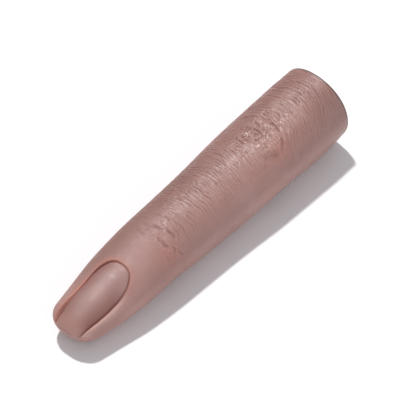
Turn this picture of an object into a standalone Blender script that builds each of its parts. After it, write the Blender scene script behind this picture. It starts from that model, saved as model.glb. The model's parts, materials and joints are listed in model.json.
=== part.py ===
"""Nail practice finger: a soft silicone finger over a jointed skeleton, with a nail bed under the nail folds.

Blender 4.5, metres, +Z up. The finger lies palm side down on Z = 0 along Y, with the fingertip towards -Y.
The origin is under its middle. Distances called "at" or "from tip" run along the finger from the fingertip.
"""

import math
from collections import namedtuple

import bmesh
import bpy

# Lengths along the finger
DISTAL_LENGTH = 0.0262  # fingertip to the tip joint
MIDDLE_LENGTH = 0.0305  # tip joint to the knuckle
BASE_LENGTH = 0.0208  # knuckle to the rear face
NAIL_WAIST_AT = 0.0075
CUTICLE_AT = 0.0175
HEEL_BEHIND_KNUCKLE = 0.0130

# Widths of the finger at its stations
NOSE_WIDTH = 0.0097
NAIL_WAIST_WIDTH = 0.0120
CUTICLE_WIDTH = 0.0146
TIP_JOINT_WIDTH = 0.0154
MIDDLE_WIDTH = 0.0162
KNUCKLE_WIDTH = 0.0173
HEEL_WIDTH = 0.0174
REAR_WIDTH = 0.0165

# Heights of the back of the finger above the surface that it lies on
NOSE_TOP = 0.0080
NAIL_WAIST_TOP = 0.0090
CUTICLE_TOP = 0.0114
TIP_JOINT_TOP = 0.0131
MIDDLE_TOP = 0.0134
KNUCKLE_TOP = 0.0146
HEEL_TOP = 0.0153
REAR_TOP = 0.0162

# Heights of the widest level, as shares of the back's height
NOSE_WIDEST_SHARE = 0.70
NAIL_WAIST_WIDEST_SHARE = 0.64
CUTICLE_WIDEST_SHARE = 0.56
BODY_WIDEST_SHARE = 0.50

# Underside: the pads are pressed flat where they rest, and the front and the joints rise
PAD_SINK = 0.0004
NOSE_RISE = 0.0028
TIP_JOINT_RISE = 0.0009
KNUCKLE_RISE = 0.0010
REAR_RISE = 0.0004
TIP_ROUNDING = 0.0034
TIP_ROUNDING_POWER = 2.5
SECTION_POWER = 2.12

# Skin creases: depth and breadth of the folds across the back and the palm side of each joint
BACK_CREASE_DEPTH = 0.00030
PALM_CREASE_DEPTH = 0.00055
CREASE_BREADTH = 0.00075
TIP_CREASE_SPACING = 0.0019
KNUCKLE_CREASE_SPACING = 0.0023
PALM_CREASE_SPACING = 0.0030

# Nail bed and the pocket that holds it
BED_ARCH_RADIUS = 0.00566
BED_EDGE = 0.0006  # thickness of its side edges
BED_FRONT_AT = 0.0015
BED_FRONT_ROUNDING = 0.0022
BED_FRONT_SHARE = 0.45
BED_RIM = 0.0004  # how far the bed runs on under the side folds
BED_ROOT = 0.0018  # how far it runs on under the cuticle
NAIL_SLOT = 0.0005  # gap over the rim, where a practice tip slides in
OPENING_FRONT_HALF_WIDTH = 0.0037
OPENING_HALF_WIDTH = 0.00445
OPENING_ROUNDS_FROM = 0.0103
OPENING_LEAN = 0.30
BED_CROWN_FRONT = 0.0055
BED_CROWN_WAIST = 0.0082
BED_CROWN_BACK = 0.01035
BED_SEAT_CLEARANCE = 0.00015
PEG_RADIUS = 0.0008
PEG_LENGTH = 0.0012
PEG_CLEARANCE = 0.00015
FRONT_PEG_AT = 0.0095
REAR_PEG_AT = 0.0155

# Tip joint hinge, an M2 screw and nut through a fork and a tongue
TIP_EAR_RADIUS = 0.0030
TIP_EAR_THICKNESS = 0.0016
TIP_TONGUE_THICKNESS = 0.0024
TIP_WASHER_THICKNESS = 0.0004
TIP_SCREW_RADIUS = 0.0010
TIP_HEAD_RADIUS = 0.0019
TIP_HEAD_HEIGHT = 0.0012
TIP_NUT_RADIUS = 0.0023
TIP_NUT_HEIGHT = 0.0016
TIP_JOINT_BEND = 50.0

# Knuckle hinge, an M2.5 screw and nut
KNUCKLE_EAR_RADIUS = 0.0036
KNUCKLE_EAR_THICKNESS = 0.0020
KNUCKLE_TONGUE_THICKNESS = 0.0030
KNUCKLE_WASHER_THICKNESS = 0.0005
KNUCKLE_SCREW_RADIUS = 0.00125
KNUCKLE_HEAD_RADIUS = 0.00225
KNUCKLE_HEAD_HEIGHT = 0.0015
KNUCKLE_NUT_RADIUS = 0.0029
KNUCKLE_NUT_HEIGHT = 0.0020
KNUCKLE_BEND = 70.0

# Bones
TONGUE_RELIEF = 0.0002  # the tongue's barrel is this much smaller than the fork's ears
JOINT_CLEARANCE = 0.0004  # between a barrel and the shoulder that it turns past
TIP_NECK_HALF_WIDTH = 0.0025
TIP_NECK_HALF_HEIGHT = 0.0022
PADDLE_HALF_WIDTH = 0.0035
PADDLE_THICKNESS = 0.0022
PADDLE_FRONT_AT = 0.0063
PADDLE_NOSE_RADIUS = 0.0009
MIDDLE_WAIST_HALF_WIDTH = 0.0024
MIDDLE_WAIST_HALF_HEIGHT = 0.0021
SHOULDER_LENGTH = 0.0050
SHAFT_HALF_HEIGHT = 0.0026
BASE_SHAFT_HALF_WIDTH = 0.0038
BOSS_RADIUS = 0.0054
BOSS_BEHIND_KNUCKLE = 0.0056
FLANGE_RADIUS = 0.0066
FLANGE_THICKNESS = 0.0016
SOCKET_RADIUS = 0.0032
SOCKET_DEPTH = 0.0110
BUSH_WALL = 0.0009
BUSH_LIP_RADIUS = 0.0050
BUSH_LIP_THICKNESS = 0.0008

# Gaps and clearances
SKIN_CLEARANCE = 0.0003
SKIN_SPLIT_GAP = 0.0003
SLIDE_GAP = 0.00005
HOLE_CLEARANCE = 0.00015
BEND_MARGIN = 2.0
THREAD_END = 0.0003
SOCKET_HEX_SHARE = 0.55
SOCKET_HEX_DEPTH_SHARE = 0.5

# How finely round shapes are drawn
SECTION_SIDES = 48
ROUND_SIDES = 24
ARC_STEPS = 10
PLAIN_RING_STEP = 0.0024
CREASE_RING_STEP = 0.0007
NOSE_RINGS = 9
BED_STEPS = 14
BED_ROUNDING_STEPS = 5
BED_ARC_STEPS = 12
OVERRUN = 0.0040

# Places worked out from the sizes above
FINGER_LENGTH = DISTAL_LENGTH + MIDDLE_LENGTH + BASE_LENGTH
TIP_JOINT_AT = DISTAL_LENGTH
KNUCKLE_AT = DISTAL_LENGTH + MIDDLE_LENGTH
HEEL_AT = KNUCKLE_AT + HEEL_BEHIND_KNUCKLE
MIDDLE_AT = TIP_JOINT_AT + MIDDLE_LENGTH / 2
FRONT_Y = -FINGER_LENGTH / 2
REAR_Y = FINGER_LENGTH / 2
BED_BACK_AT = CUTICLE_AT + BED_ROOT
REAR_CENTRE_Z = REAR_TOP / 2


def y_of(from_tip):
    """Y of a place given by its distance from the fingertip."""
    return FRONT_Y + from_tip


# Materials: colour, roughness and metallic value
MATERIALS = {
    "silicone_skin": ((0.43, 0.255, 0.225, 1.0), 0.55, 0.0),
    "nail_bed": ((0.44, 0.27, 0.245, 1.0), 0.42, 0.0),
    "nylon": ((0.80, 0.78, 0.72, 1.0), 0.50, 0.0),
    "steel": ((0.56, 0.57, 0.58, 1.0), 0.30, 1.0),
    "washer_fibre": ((0.10, 0.10, 0.11, 1.0), 0.60, 0.0),
    "brass": ((0.78, 0.57, 0.26, 1.0), 0.32, 1.0),
}


def material(name):
    """The named material, made on first use."""
    made = bpy.data.materials.get(name)
    if made is None:
        colour, roughness, metallic = MATERIALS[name]
        made = bpy.data.materials.new(name)
        made.use_nodes = True
        shader = made.node_tree.nodes["Principled BSDF"]
        shader.inputs["Base Color"].default_value = colour
        shader.inputs["Roughness"].default_value = roughness
        shader.inputs["Metallic"].default_value = metallic
        made.diffuse_color = colour
    return made


def clear_scene():
    """Takes every object out of the scene."""
    for obj in list(bpy.data.objects):
        bpy.data.objects.remove(obj, do_unlink=True)


# Basic solids


def object_from(name, bm, finish, smooth_angle=None):
    """An object of this bmesh with its faces turned outwards."""
    bmesh.ops.recalc_face_normals(bm, faces=bm.faces)
    mesh = bpy.data.meshes.new(name)
    bm.to_mesh(mesh)
    bm.free()
    if smooth_angle is not None:
        mesh.shade_smooth()
        mesh.set_sharp_from_angle(angle=math.radians(smooth_angle))
    obj = bpy.data.objects.new(name, mesh)
    bpy.context.scene.collection.objects.link(obj)
    if finish is not None:
        mesh.materials.append(material(finish))
    return obj


def prism(name, outline, low, high, along, finish=None):
    """A closed outline, in (y, z) or (x, y), pushed from low to high along X or Z."""
    bm = bmesh.new()
    if along == "X":
        corners = [bm.verts.new((low, a, b)) for a, b in outline]
        travel = (high - low, 0.0, 0.0)
    else:
        corners = [bm.verts.new((a, b, low)) for a, b in outline]
        travel = (0.0, 0.0, high - low)
    face = bm.faces.new(corners)
    pushed = bmesh.ops.extrude_face_region(bm, geom=[face], use_keep_orig=True)
    moved = [v for v in pushed["geom"] if isinstance(v, bmesh.types.BMVert)]
    bmesh.ops.translate(bm, verts=moved, vec=travel)
    return object_from(name, bm, finish, smooth_angle=30)


def loft(name, rings, finish=None, pole=None):
    """A solid skinned over rings of equal point count: the last is capped, the first runs to any pole."""
    bm = bmesh.new()
    rows = [[bm.verts.new(p) for p in ring] for ring in rings]
    for near, far in zip(rows, rows[1:]):
        for i in range(len(near)):
            j = (i + 1) % len(near)
            bm.faces.new((near[i], near[j], far[j], far[i]))
    if pole is None:
        bm.faces.new(reversed(rows[0]))
    else:
        point = bm.verts.new(pole)
        for i in range(len(rows[0])):
            bm.faces.new((rows[0][(i + 1) % len(rows[0])], rows[0][i], point))
    bm.faces.new(rows[-1])
    return object_from(name, bm, finish, smooth_angle=50)


def circle(centre, radius, sides=ROUND_SIDES, turn=0.0):
    """Points round a circle in a plane."""
    step = math.tau / sides
    return [
        (centre[0] + radius * math.cos(turn + i * step), centre[1] + radius * math.sin(turn + i * step))
        for i in range(sides)
    ]


def arc(centre, radius, start, end):
    """Points along an arc, with its angles in degrees from the plane's first axis."""
    points = []
    for i in range(ARC_STEPS + 1):
        angle = math.radians(start + (end - start) * i / ARC_STEPS)
        points.append((centre[0] + radius * math.cos(angle), centre[1] + radius * math.sin(angle)))
    return points


def drum_along_y(name, radius, low, high, z, finish=None):
    """A round bar along Y."""
    ring = circle((0.0, z), radius)
    return loft(name, [[(x, y, h) for x, h in ring] for y in (low, high)], finish)


def grown(outline, distance):
    """A closed outline, listed anticlockwise, moved outwards by a distance."""
    if distance == 0.0:
        return list(outline)
    points = []
    count = len(outline)
    for i in range(count):
        before, here, after = outline[i - 1], outline[i], outline[(i + 1) % count]
        first = (here[0] - before[0], here[1] - before[1])
        second = (after[0] - here[0], after[1] - here[1])
        out_first = normal_of(first)
        out_second = normal_of(second)
        middle = (out_first[0] + out_second[0], out_first[1] + out_second[1])
        size = middle[0] * out_first[0] + middle[1] * out_first[1]
        points.append((here[0] + middle[0] * distance / size, here[1] + middle[1] * distance / size))
    return points


def normal_of(edge):
    """The unit normal on the right of an edge, which is outside an outline listed anticlockwise."""
    length = math.hypot(*edge)
    return (edge[1] / length, -edge[0] / length)


# Boolean cuts, kept as modifiers


def boolean(obj, tool, operation):
    """Adds a Boolean with a hidden tool object."""
    modifier = obj.modifiers.new(f"{operation}_{tool.name}", "BOOLEAN")
    modifier.operation = operation
    modifier.solver = "EXACT"
    modifier.object = tool
    tool.hide_render = True
    tool.display_type = "WIRE"
    return obj


def cut(obj, *tools):
    """Takes each tool's shape out of obj."""
    for tool in tools:
        boolean(obj, tool, "DIFFERENCE")
    return obj


def keep_inside(obj, tool):
    """Keeps only what of obj lies inside the tool."""
    return boolean(obj, tool, "INTERSECT")


def join(obj, *tools):
    """Makes obj and the tools one body."""
    for tool in tools:
        boolean(obj, tool, "UNION")
    return obj


# Outline of the finger


def smooth_through(points, at):
    """A smooth curve through (place, value) points that doesn't overshoot them."""
    places = [p[0] for p in points]
    values = [p[1] for p in points]
    if at <= places[0]:
        return values[0]
    if at >= places[-1]:
        return values[-1]
    slopes = [(values[i + 1] - values[i]) / (places[i + 1] - places[i]) for i in range(len(points) - 1)]
    tangents = [slopes[0]]
    for before, after in zip(slopes, slopes[1:]):
        tangents.append(2 * before * after / (before + after) if before * after > 0 else 0.0)
    tangents.append(slopes[-1])
    i = max(k for k in range(len(points) - 1) if places[k] <= at)
    gap = places[i + 1] - places[i]
    t = (at - places[i]) / gap
    rise = t * t * (3 - 2 * t)
    lead_in = t * (1 - t) ** 2
    lead_out = t * t * (t - 1)
    base = values[i] + (values[i + 1] - values[i]) * rise
    return base + gap * (lead_in * tangents[i] + lead_out * tangents[i + 1])


WIDTHS = (
    (0.0, NOSE_WIDTH),
    (NAIL_WAIST_AT, NAIL_WAIST_WIDTH),
    (CUTICLE_AT, CUTICLE_WIDTH),
    (TIP_JOINT_AT, TIP_JOINT_WIDTH),
    (MIDDLE_AT, MIDDLE_WIDTH),
    (KNUCKLE_AT, KNUCKLE_WIDTH),
    (HEEL_AT, HEEL_WIDTH),
    (FINGER_LENGTH, REAR_WIDTH),
)
TOPS = (
    (0.0, NOSE_TOP),
    (NAIL_WAIST_AT, NAIL_WAIST_TOP),
    (CUTICLE_AT, CUTICLE_TOP),
    (TIP_JOINT_AT, TIP_JOINT_TOP),
    (MIDDLE_AT, MIDDLE_TOP),
    (KNUCKLE_AT, KNUCKLE_TOP),
    (HEEL_AT, HEEL_TOP),
    (FINGER_LENGTH, REAR_TOP),
)
UNDERS = (
    (0.0, NOSE_RISE),
    (NAIL_WAIST_AT, -PAD_SINK),
    (CUTICLE_AT, -PAD_SINK),
    (TIP_JOINT_AT, TIP_JOINT_RISE),
    ((TIP_JOINT_AT + MIDDLE_AT) / 2, -PAD_SINK),
    ((KNUCKLE_AT + MIDDLE_AT) / 2, -PAD_SINK),
    (KNUCKLE_AT, KNUCKLE_RISE),
    (HEEL_AT, -PAD_SINK),
    (FINGER_LENGTH, REAR_RISE),
)
WIDEST_SHARES = (
    (0.0, NOSE_WIDEST_SHARE),
    (NAIL_WAIST_AT, NAIL_WAIST_WIDEST_SHARE),
    (CUTICLE_AT, CUTICLE_WIDEST_SHARE),
    (TIP_JOINT_AT, BODY_WIDEST_SHARE),
    (FINGER_LENGTH, BODY_WIDEST_SHARE),
)


def crease_depth(from_tip, angle):
    """How far the joints' folds sink the skin. The angle is round the section, from +X to the back."""
    back = max(0.0, math.sin(angle))
    palm = max(0.0, -math.sin(angle))
    depth = 0.0
    for row in (-1, 0, 1):
        bow = -row * TIP_CREASE_SPACING * (1 - back) / 2
        place = TIP_JOINT_AT + row * TIP_CREASE_SPACING + bow
        depth += BACK_CREASE_DEPTH * back**3 * bell(from_tip - place)
    for row in (-2, -1, 0, 1, 2):
        bow = -row * KNUCKLE_CREASE_SPACING * (1 - back) / 2
        place = KNUCKLE_AT + row * KNUCKLE_CREASE_SPACING + bow
        depth += BACK_CREASE_DEPTH * back**3 * bell(from_tip - place)
    depth += PALM_CREASE_DEPTH * palm * bell(from_tip - TIP_JOINT_AT)
    for side in (-1, 1):
        place = KNUCKLE_AT + side * PALM_CREASE_SPACING / 2
        depth += PALM_CREASE_DEPTH * palm * bell(from_tip - place)
    return depth


def bell(distance):
    """A smooth hump of height one, a crease's breadth wide."""
    return math.exp(-((distance / CREASE_BREADTH) ** 2))


def section(from_tip, scale=1.0):
    """The ring of skin at a place, drawn in by scale towards the middle of the nose in the rounded tip."""
    half_width = smooth_through(WIDTHS, from_tip) / 2
    top = smooth_through(TOPS, from_tip)
    under = smooth_through(UNDERS, from_tip)
    widest = top * smooth_through(WIDEST_SHARES, from_tip)
    nose_z = (NOSE_TOP + NOSE_RISE) / 2
    ring = []
    for i in range(SECTION_SIDES):
        angle = math.tau * i / SECTION_SIDES
        across = math.copysign(abs(math.cos(angle)) ** (2 / SECTION_POWER), math.cos(angle))
        up = math.copysign(abs(math.sin(angle)) ** (2 / SECTION_POWER), math.sin(angle))
        reach = top - widest if up > 0 else widest - under
        sink = crease_depth(from_tip, angle)
        x = across * (half_width - sink)
        z = widest + up * (reach - sink)
        ring.append((x * scale, y_of(from_tip), max(0.0, nose_z + (z - nose_z) * scale)))
    return ring


def ring_step(from_tip):
    """Distance to the next ring of skin, which is short over the creases."""
    over_tip_joint = abs(from_tip - TIP_JOINT_AT) < 2 * TIP_CREASE_SPACING
    over_knuckle = abs(from_tip - KNUCKLE_AT) < 3 * KNUCKLE_CREASE_SPACING
    return CREASE_RING_STEP if over_tip_joint or over_knuckle else PLAIN_RING_STEP


def ring_places():
    """Where the rings of skin lie, from the rounded tip to the rear face."""
    places = [TIP_ROUNDING]
    while places[-1] + ring_step(places[-1]) < FINGER_LENGTH - CREASE_RING_STEP:
        places.append(places[-1] + ring_step(places[-1]))
    return places + [FINGER_LENGTH]


def finger_form(name):
    """The whole outer form of the finger as one closed body."""
    rings = []
    for i in range(1, NOSE_RINGS + 1):
        angle = math.pi / 2 * i / (NOSE_RINGS + 1)
        place = TIP_ROUNDING * (1 - math.cos(angle) ** (2 / TIP_ROUNDING_POWER))
        rings.append(section(place, math.sin(angle) ** (2 / TIP_ROUNDING_POWER)))
    rings += [section(place) for place in ring_places()]
    return loft(name, rings, "silicone_skin", pole=(0.0, FRONT_Y, (NOSE_TOP + NOSE_RISE) / 2))


# Hinges

Hinge = namedtuple(
    "Hinge",
    "name y z ear_radius ear tongue washer screw head_radius head nut_radius nut bend",
)
TIP_HINGE = Hinge(
    "tip_hinge",
    y_of(TIP_JOINT_AT),
    (TIP_JOINT_TOP + TIP_JOINT_RISE) / 2,
    TIP_EAR_RADIUS,
    TIP_EAR_THICKNESS,
    TIP_TONGUE_THICKNESS,
    TIP_WASHER_THICKNESS,
    TIP_SCREW_RADIUS,
    TIP_HEAD_RADIUS,
    TIP_HEAD_HEIGHT,
    TIP_NUT_RADIUS,
    TIP_NUT_HEIGHT,
    TIP_JOINT_BEND,
)
KNUCKLE_HINGE = Hinge(
    "knuckle_hinge",
    y_of(KNUCKLE_AT),
    (KNUCKLE_TOP + KNUCKLE_RISE) / 2,
    KNUCKLE_EAR_RADIUS,
    KNUCKLE_EAR_THICKNESS,
    KNUCKLE_TONGUE_THICKNESS,
    KNUCKLE_WASHER_THICKNESS,
    KNUCKLE_SCREW_RADIUS,
    KNUCKLE_HEAD_RADIUS,
    KNUCKLE_HEAD_HEIGHT,
    KNUCKLE_NUT_RADIUS,
    KNUCKLE_NUT_HEIGHT,
    KNUCKLE_BEND,
)


def slot_half(hinge):
    """Half the fork's gap: the tongue, a washer each side of it and a sliding gap at each face."""
    return hinge.tongue / 2 + hinge.washer + 2 * SLIDE_GAP


def fork_half(hinge):
    """Half the fork's width over its ears."""
    return slot_half(hinge) + hinge.ear


def tongue_radius(hinge):
    """Radius of the tongue's barrel."""
    return hinge.ear_radius - TONGUE_RELIEF


def shoulder(hinge):
    """Distance from a hinge's axis to the shoulder that a barrel turns past."""
    return hinge.ear_radius + JOINT_CLEARANCE


def drum_along_x(name, hinge, radius, low, high, sides=ROUND_SIDES, finish=None):
    """A round or hexagonal bar on a hinge's axis."""
    return prism(name, circle((hinge.y, hinge.z), radius, sides), low, high, "X", finish)


def hinge_hole(hinge, owner):
    """The cutter for a screw's hole through one bone."""
    reach = fork_half(hinge) + OVERRUN
    return drum_along_x(f"{owner}_{hinge.name}_hole", hinge, hinge.screw + HOLE_CLEARANCE, -reach, reach)


def hinge_screw(hinge):
    """A screw through the fork, with its head on +X and a hexagonal socket in the head."""
    seat = fork_half(hinge) + SLIDE_GAP
    end = -(fork_half(hinge) + 2 * SLIDE_GAP + hinge.nut + THREAD_END)
    head_top = seat + hinge.head
    screw = drum_along_x(
        f"{hinge.name}_screw", hinge, hinge.screw, end, seat + hinge.head / 2, finish="steel"
    )
    head = drum_along_x(f"{hinge.name}_head", hinge, hinge.head_radius, seat, head_top)
    key_low = head_top - hinge.head * SOCKET_HEX_DEPTH_SHARE
    key = drum_along_x(
        f"{hinge.name}_key", hinge, hinge.head_radius * SOCKET_HEX_SHARE,
        key_low, head_top + OVERRUN, sides=6
    )
    return cut(join(screw, head), key)


def hinge_nut(hinge):
    """The hexagonal nut on -X."""
    seat = -(fork_half(hinge) + SLIDE_GAP)
    nut = drum_along_x(
        f"{hinge.name}_nut", hinge, hinge.nut_radius, seat - hinge.nut, seat, sides=6, finish="steel"
    )
    hole = drum_along_x(
        f"{hinge.name}_nut_hole", hinge, hinge.screw + HOLE_CLEARANCE,
        seat - hinge.nut - OVERRUN, seat + OVERRUN
    )
    return cut(nut, hole)


def hinge_washer(hinge, side):
    """A friction washer between the tongue and the ear on one side."""
    near = side * (hinge.tongue / 2 + SLIDE_GAP)
    far = side * (hinge.tongue / 2 + SLIDE_GAP + hinge.washer)
    label = "right" if side > 0 else "left"
    low, high = min(near, far), max(near, far)
    washer = drum_along_x(
        f"{hinge.name}_washer_{label}", hinge, tongue_radius(hinge), low, high, finish="washer_fibre"
    )
    hole = drum_along_x(
        f"{hinge.name}_washer_hole_{label}", hinge, hinge.screw + HOLE_CLEARANCE,
        low - OVERRUN, high + OVERRUN
    )
    return cut(washer, hole)


def hinge_hardware(hinge):
    """A hinge's screw, nut and washers."""
    return [hinge_screw(hinge), hinge_nut(hinge), hinge_washer(hinge, -1), hinge_washer(hinge, 1)]


def screw_room(hinge):
    """The cutter for the space that a hinge's screw head and nut take up in the skin."""
    low = -(fork_half(hinge) + hinge.nut + THREAD_END + 2 * SLIDE_GAP + SKIN_CLEARANCE)
    high = fork_half(hinge) + hinge.head + SLIDE_GAP + SKIN_CLEARANCE
    radius = max(hinge.head_radius, hinge.nut_radius) + SKIN_CLEARANCE
    return drum_along_x(f"{hinge.name}_room", hinge, radius, low, high)


# Nail bed


def bed_crown(from_tip):
    """Height of the nail bed along its middle."""
    points = (
        (0.0, BED_CROWN_FRONT),
        (NAIL_WAIST_AT, BED_CROWN_WAIST),
        (CUTICLE_AT, BED_CROWN_BACK),
        (BED_BACK_AT + OVERRUN, BED_CROWN_BACK),
    )
    return smooth_through(points, from_tip)


def opening_half(from_tip):
    """Half the width of the window in the skin over the nail bed, before it rounds off at the cuticle."""
    share = min(1.0, max(0.0, from_tip / NAIL_WAIST_AT))
    return OPENING_FRONT_HALF_WIDTH + (OPENING_HALF_WIDTH - OPENING_FRONT_HALF_WIDTH) * share


def back_rounding(from_tip, back_at):
    """Share of the full width that is left where a nail shaped outline rounds off towards its back end."""
    past = (from_tip - OPENING_ROUNDS_FROM) / (back_at - OPENING_ROUNDS_FROM)
    return math.sqrt(max(0.0, 1 - max(0.0, past) ** 2))


def front_rounding(from_tip):
    """Share of the full width that is left where the bed's front rounds off with the fingertip."""
    before = 1 - (from_tip - BED_FRONT_AT) / BED_FRONT_ROUNDING
    share = (1 - min(1.0, max(0.0, before)) ** TIP_ROUNDING_POWER) ** (1 / TIP_ROUNDING_POWER)
    return max(BED_FRONT_SHARE, share)


def arch_fall(x):
    """How far the bed's arched face drops at a distance from its middle."""
    return BED_ARCH_RADIUS - math.sqrt(BED_ARCH_RADIUS**2 - x**2)


def bed_floor(from_tip):
    """Height of the bed's flat underside, just below its side edges."""
    half = (opening_half(from_tip) + BED_RIM) * front_rounding(from_tip)
    return bed_crown(from_tip) - arch_fall(half) - BED_EDGE


def nail_places(front_at, back_at):
    """Stations along a nail shaped outline, closer together where it rounds off."""
    places = [front_at]
    step = BED_FRONT_ROUNDING / BED_ROUNDING_STEPS
    while places[-1] < BED_FRONT_AT + BED_FRONT_ROUNDING:
        places.append(places[-1] + step)
    start = places[-1]
    for i in range(1, BED_STEPS):
        places.append(start + (back_at - start) * math.sin(math.pi / 2 * i / BED_STEPS))
    return places


def arch(from_tip, half, lift):
    """Points across the bed's arched face at a place, from -X to +X."""
    crown = bed_crown(from_tip) + lift
    points = []
    for i in range(BED_ARC_STEPS + 1):
        x = half * (2 * i / BED_ARC_STEPS - 1)
        points.append((x, y_of(from_tip), crown - arch_fall(x)))
    return points


def bed_rings(clearance, lift):
    """Rings of the bed, or of its pocket when there is a clearance, with the arched face raised by lift."""
    rings = []
    back_at = BED_BACK_AT + clearance
    for place in nail_places(BED_FRONT_AT - clearance, back_at):
        share = front_rounding(place) * back_rounding(place, back_at)
        half = (opening_half(place) + BED_RIM) * share + clearance
        floor = bed_floor(place) - clearance
        y = y_of(place)
        rings.append([(half, y, floor)] + arch(place, half, lift)[::-1] + [(-half, y, floor)])
    return rings


def window_rings():
    """Rings of the space over the bed that the skin leaves open, from in front of the tip to the cuticle."""
    rings = []
    top = CUTICLE_TOP + OVERRUN
    for place in [-OVERRUN] + nail_places(0.0, CUTICLE_AT):
        half = opening_half(place) * back_rounding(place, CUTICLE_AT)
        spread = half + OPENING_LEAN * (top - bed_crown(place))
        y = y_of(place)
        rings.append([(spread, y, top)] + arch(place, half, 0.0)[::-1] + [(-spread, y, top)])
    return rings


def nail_bed():
    """The firm bed under the nail window, with two pegs that locate it on the tip bone."""
    bed = loft("nail_bed", bed_rings(0.0, 0.0), "nail_bed")
    pegs = []
    for label, place in (("front", FRONT_PEG_AT), ("rear", REAR_PEG_AT)):
        floor = bed_floor(place)
        outline = circle((0.0, y_of(place)), PEG_RADIUS)
        pegs.append(prism(f"bed_peg_{label}", outline, floor - PEG_LENGTH, floor + PEG_LENGTH, "Z"))
    return join(bed, *pegs)


def bed_pocket():
    """The cutter for the pocket that the bed sits in, with the practice tip's slot over its rim."""
    return loft("bed_pocket", bed_rings(BED_SEAT_CLEARANCE, NAIL_SLOT))


def nail_window():
    """The cutter for the open window over the nail bed."""
    return loft("nail_window", window_rings())


# Bones


def bone(name, side, plan, grow, finish):
    """A body with a given side outline (y, z) and plan outline (x, y), both moved out by grow."""
    wide = max(abs(x) for x, y in plan) + OVERRUN
    tall = max(z for y, z in side) + OVERRUN
    body = prism(name, grown(side, grow), -wide, wide, "X", finish)
    plan_tool = prism(f"{name}_plan", grown(plan, grow), -OVERRUN, tall, "Z")
    return keep_inside(body, plan_tool)


def mirrored(half_plan):
    """A plan outline from its +X half, which is listed from front to rear."""
    return [(x, y) for x, y in half_plan] + [(-x, y) for x, y in reversed(half_plan)]


def tip_bone_outlines():
    """Side and plan outlines of the tip bone: tongue, neck and the paddle under the nail bed."""
    hinge = TIP_HINGE
    radius = tongue_radius(hinge)
    neck_y = hinge.y - shoulder(hinge)
    stop_y = y_of(BED_BACK_AT) + 2 * BED_SEAT_CLEARANCE
    nose_y = y_of(PADDLE_FRONT_AT)
    nose_z = paddle_top(PADDLE_FRONT_AT) - PADDLE_THICKNESS / 2
    side = arc((hinge.y, hinge.z), radius, -90.0, 90.0)
    side.append((neck_y, hinge.z + TIP_NECK_HALF_HEIGHT))
    side.append((stop_y, hinge.z + TIP_NECK_HALF_HEIGHT))
    for i in range(ARC_STEPS + 1):
        place = BED_BACK_AT + (PADDLE_FRONT_AT - BED_BACK_AT) * i / ARC_STEPS
        side.append((y_of(place), paddle_top(place)))
    side[-ARC_STEPS - 1] = (stop_y, paddle_top(BED_BACK_AT))
    side.append((nose_y - PADDLE_NOSE_RADIUS, nose_z))
    side.append((nose_y, nose_z - PADDLE_THICKNESS / 2))
    side.append((neck_y, hinge.z - TIP_NECK_HALF_HEIGHT))
    half = [
        (PADDLE_HALF_WIDTH / 2, nose_y - PADDLE_NOSE_RADIUS - SLIDE_GAP),
        (PADDLE_HALF_WIDTH, nose_y + PADDLE_HALF_WIDTH / 2),
        (PADDLE_HALF_WIDTH, stop_y - PADDLE_HALF_WIDTH),
        (TIP_NECK_HALF_WIDTH, stop_y),
        (TIP_NECK_HALF_WIDTH, neck_y),
        (hinge.tongue / 2, neck_y),
        (hinge.tongue / 2, hinge.y + radius + OVERRUN),
    ]
    return side, mirrored(half)


def paddle_top(from_tip):
    """Height of the paddle's upper face, a clearance under the nail bed."""
    return bed_floor(from_tip) - BED_SEAT_CLEARANCE


def middle_bone_outlines():
    """Side and plan outlines of the middle bone: fork, waisted shaft and tongue."""
    front, rear = TIP_HINGE, KNUCKLE_HINGE
    radius = tongue_radius(rear)
    front_end = front.y + shoulder(front) + SHOULDER_LENGTH
    rear_start = rear.y - shoulder(rear)
    middle_y = (front_end + rear_start) / 2
    middle_z = (front.z + rear.z) / 2
    side = arc((rear.y, rear.z), radius, -90.0, 90.0)
    side.append((rear_start, rear.z + SHAFT_HALF_HEIGHT))
    side.append((middle_y, middle_z + MIDDLE_WAIST_HALF_HEIGHT))
    side.append((front.y + shoulder(front), front.z + SHAFT_HALF_HEIGHT))
    side += arc((front.y, front.z), front.ear_radius, 90.0, 270.0)
    side.append((front.y + shoulder(front), front.z - SHAFT_HALF_HEIGHT))
    side.append((middle_y, middle_z - MIDDLE_WAIST_HALF_HEIGHT))
    side.append((rear_start, rear.z - SHAFT_HALF_HEIGHT))
    half = [
        (fork_half(front), front.y - front.ear_radius - OVERRUN),
        (fork_half(front), front_end),
        (MIDDLE_WAIST_HALF_WIDTH, middle_y),
        (MIDDLE_WAIST_HALF_WIDTH + hinge_step(rear), rear_start),
        (rear.tongue / 2, rear_start),
        (rear.tongue / 2, rear.y + radius + OVERRUN),
    ]
    return side, mirrored(half)


def hinge_step(hinge):
    """How much a shaft widens to meet the fork that its tongue sits in."""
    return hinge.ear / 2


def base_bone_outlines():
    """Side and plan outlines of the base bone's fork and shaft. Its round boss is joined on."""
    hinge = KNUCKLE_HINGE
    boss_y = hinge.y + BOSS_BEHIND_KNUCKLE
    side = [
        (boss_y + SHOULDER_LENGTH, REAR_CENTRE_Z - SHAFT_HALF_HEIGHT),
        (boss_y + SHOULDER_LENGTH, REAR_CENTRE_Z + SHAFT_HALF_HEIGHT),
        (hinge.y + shoulder(hinge), hinge.z + hinge.ear_radius - TONGUE_RELIEF),
    ]
    side += arc((hinge.y, hinge.z), hinge.ear_radius, 90.0, 270.0)
    side.append((hinge.y + shoulder(hinge), hinge.z - hinge.ear_radius + TONGUE_RELIEF))
    half = [
        (fork_half(hinge), hinge.y - hinge.ear_radius - OVERRUN),
        (fork_half(hinge), boss_y),
        (BASE_SHAFT_HALF_WIDTH, boss_y + SHOULDER_LENGTH + OVERRUN),
    ]
    return side, mirrored(half)


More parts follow.
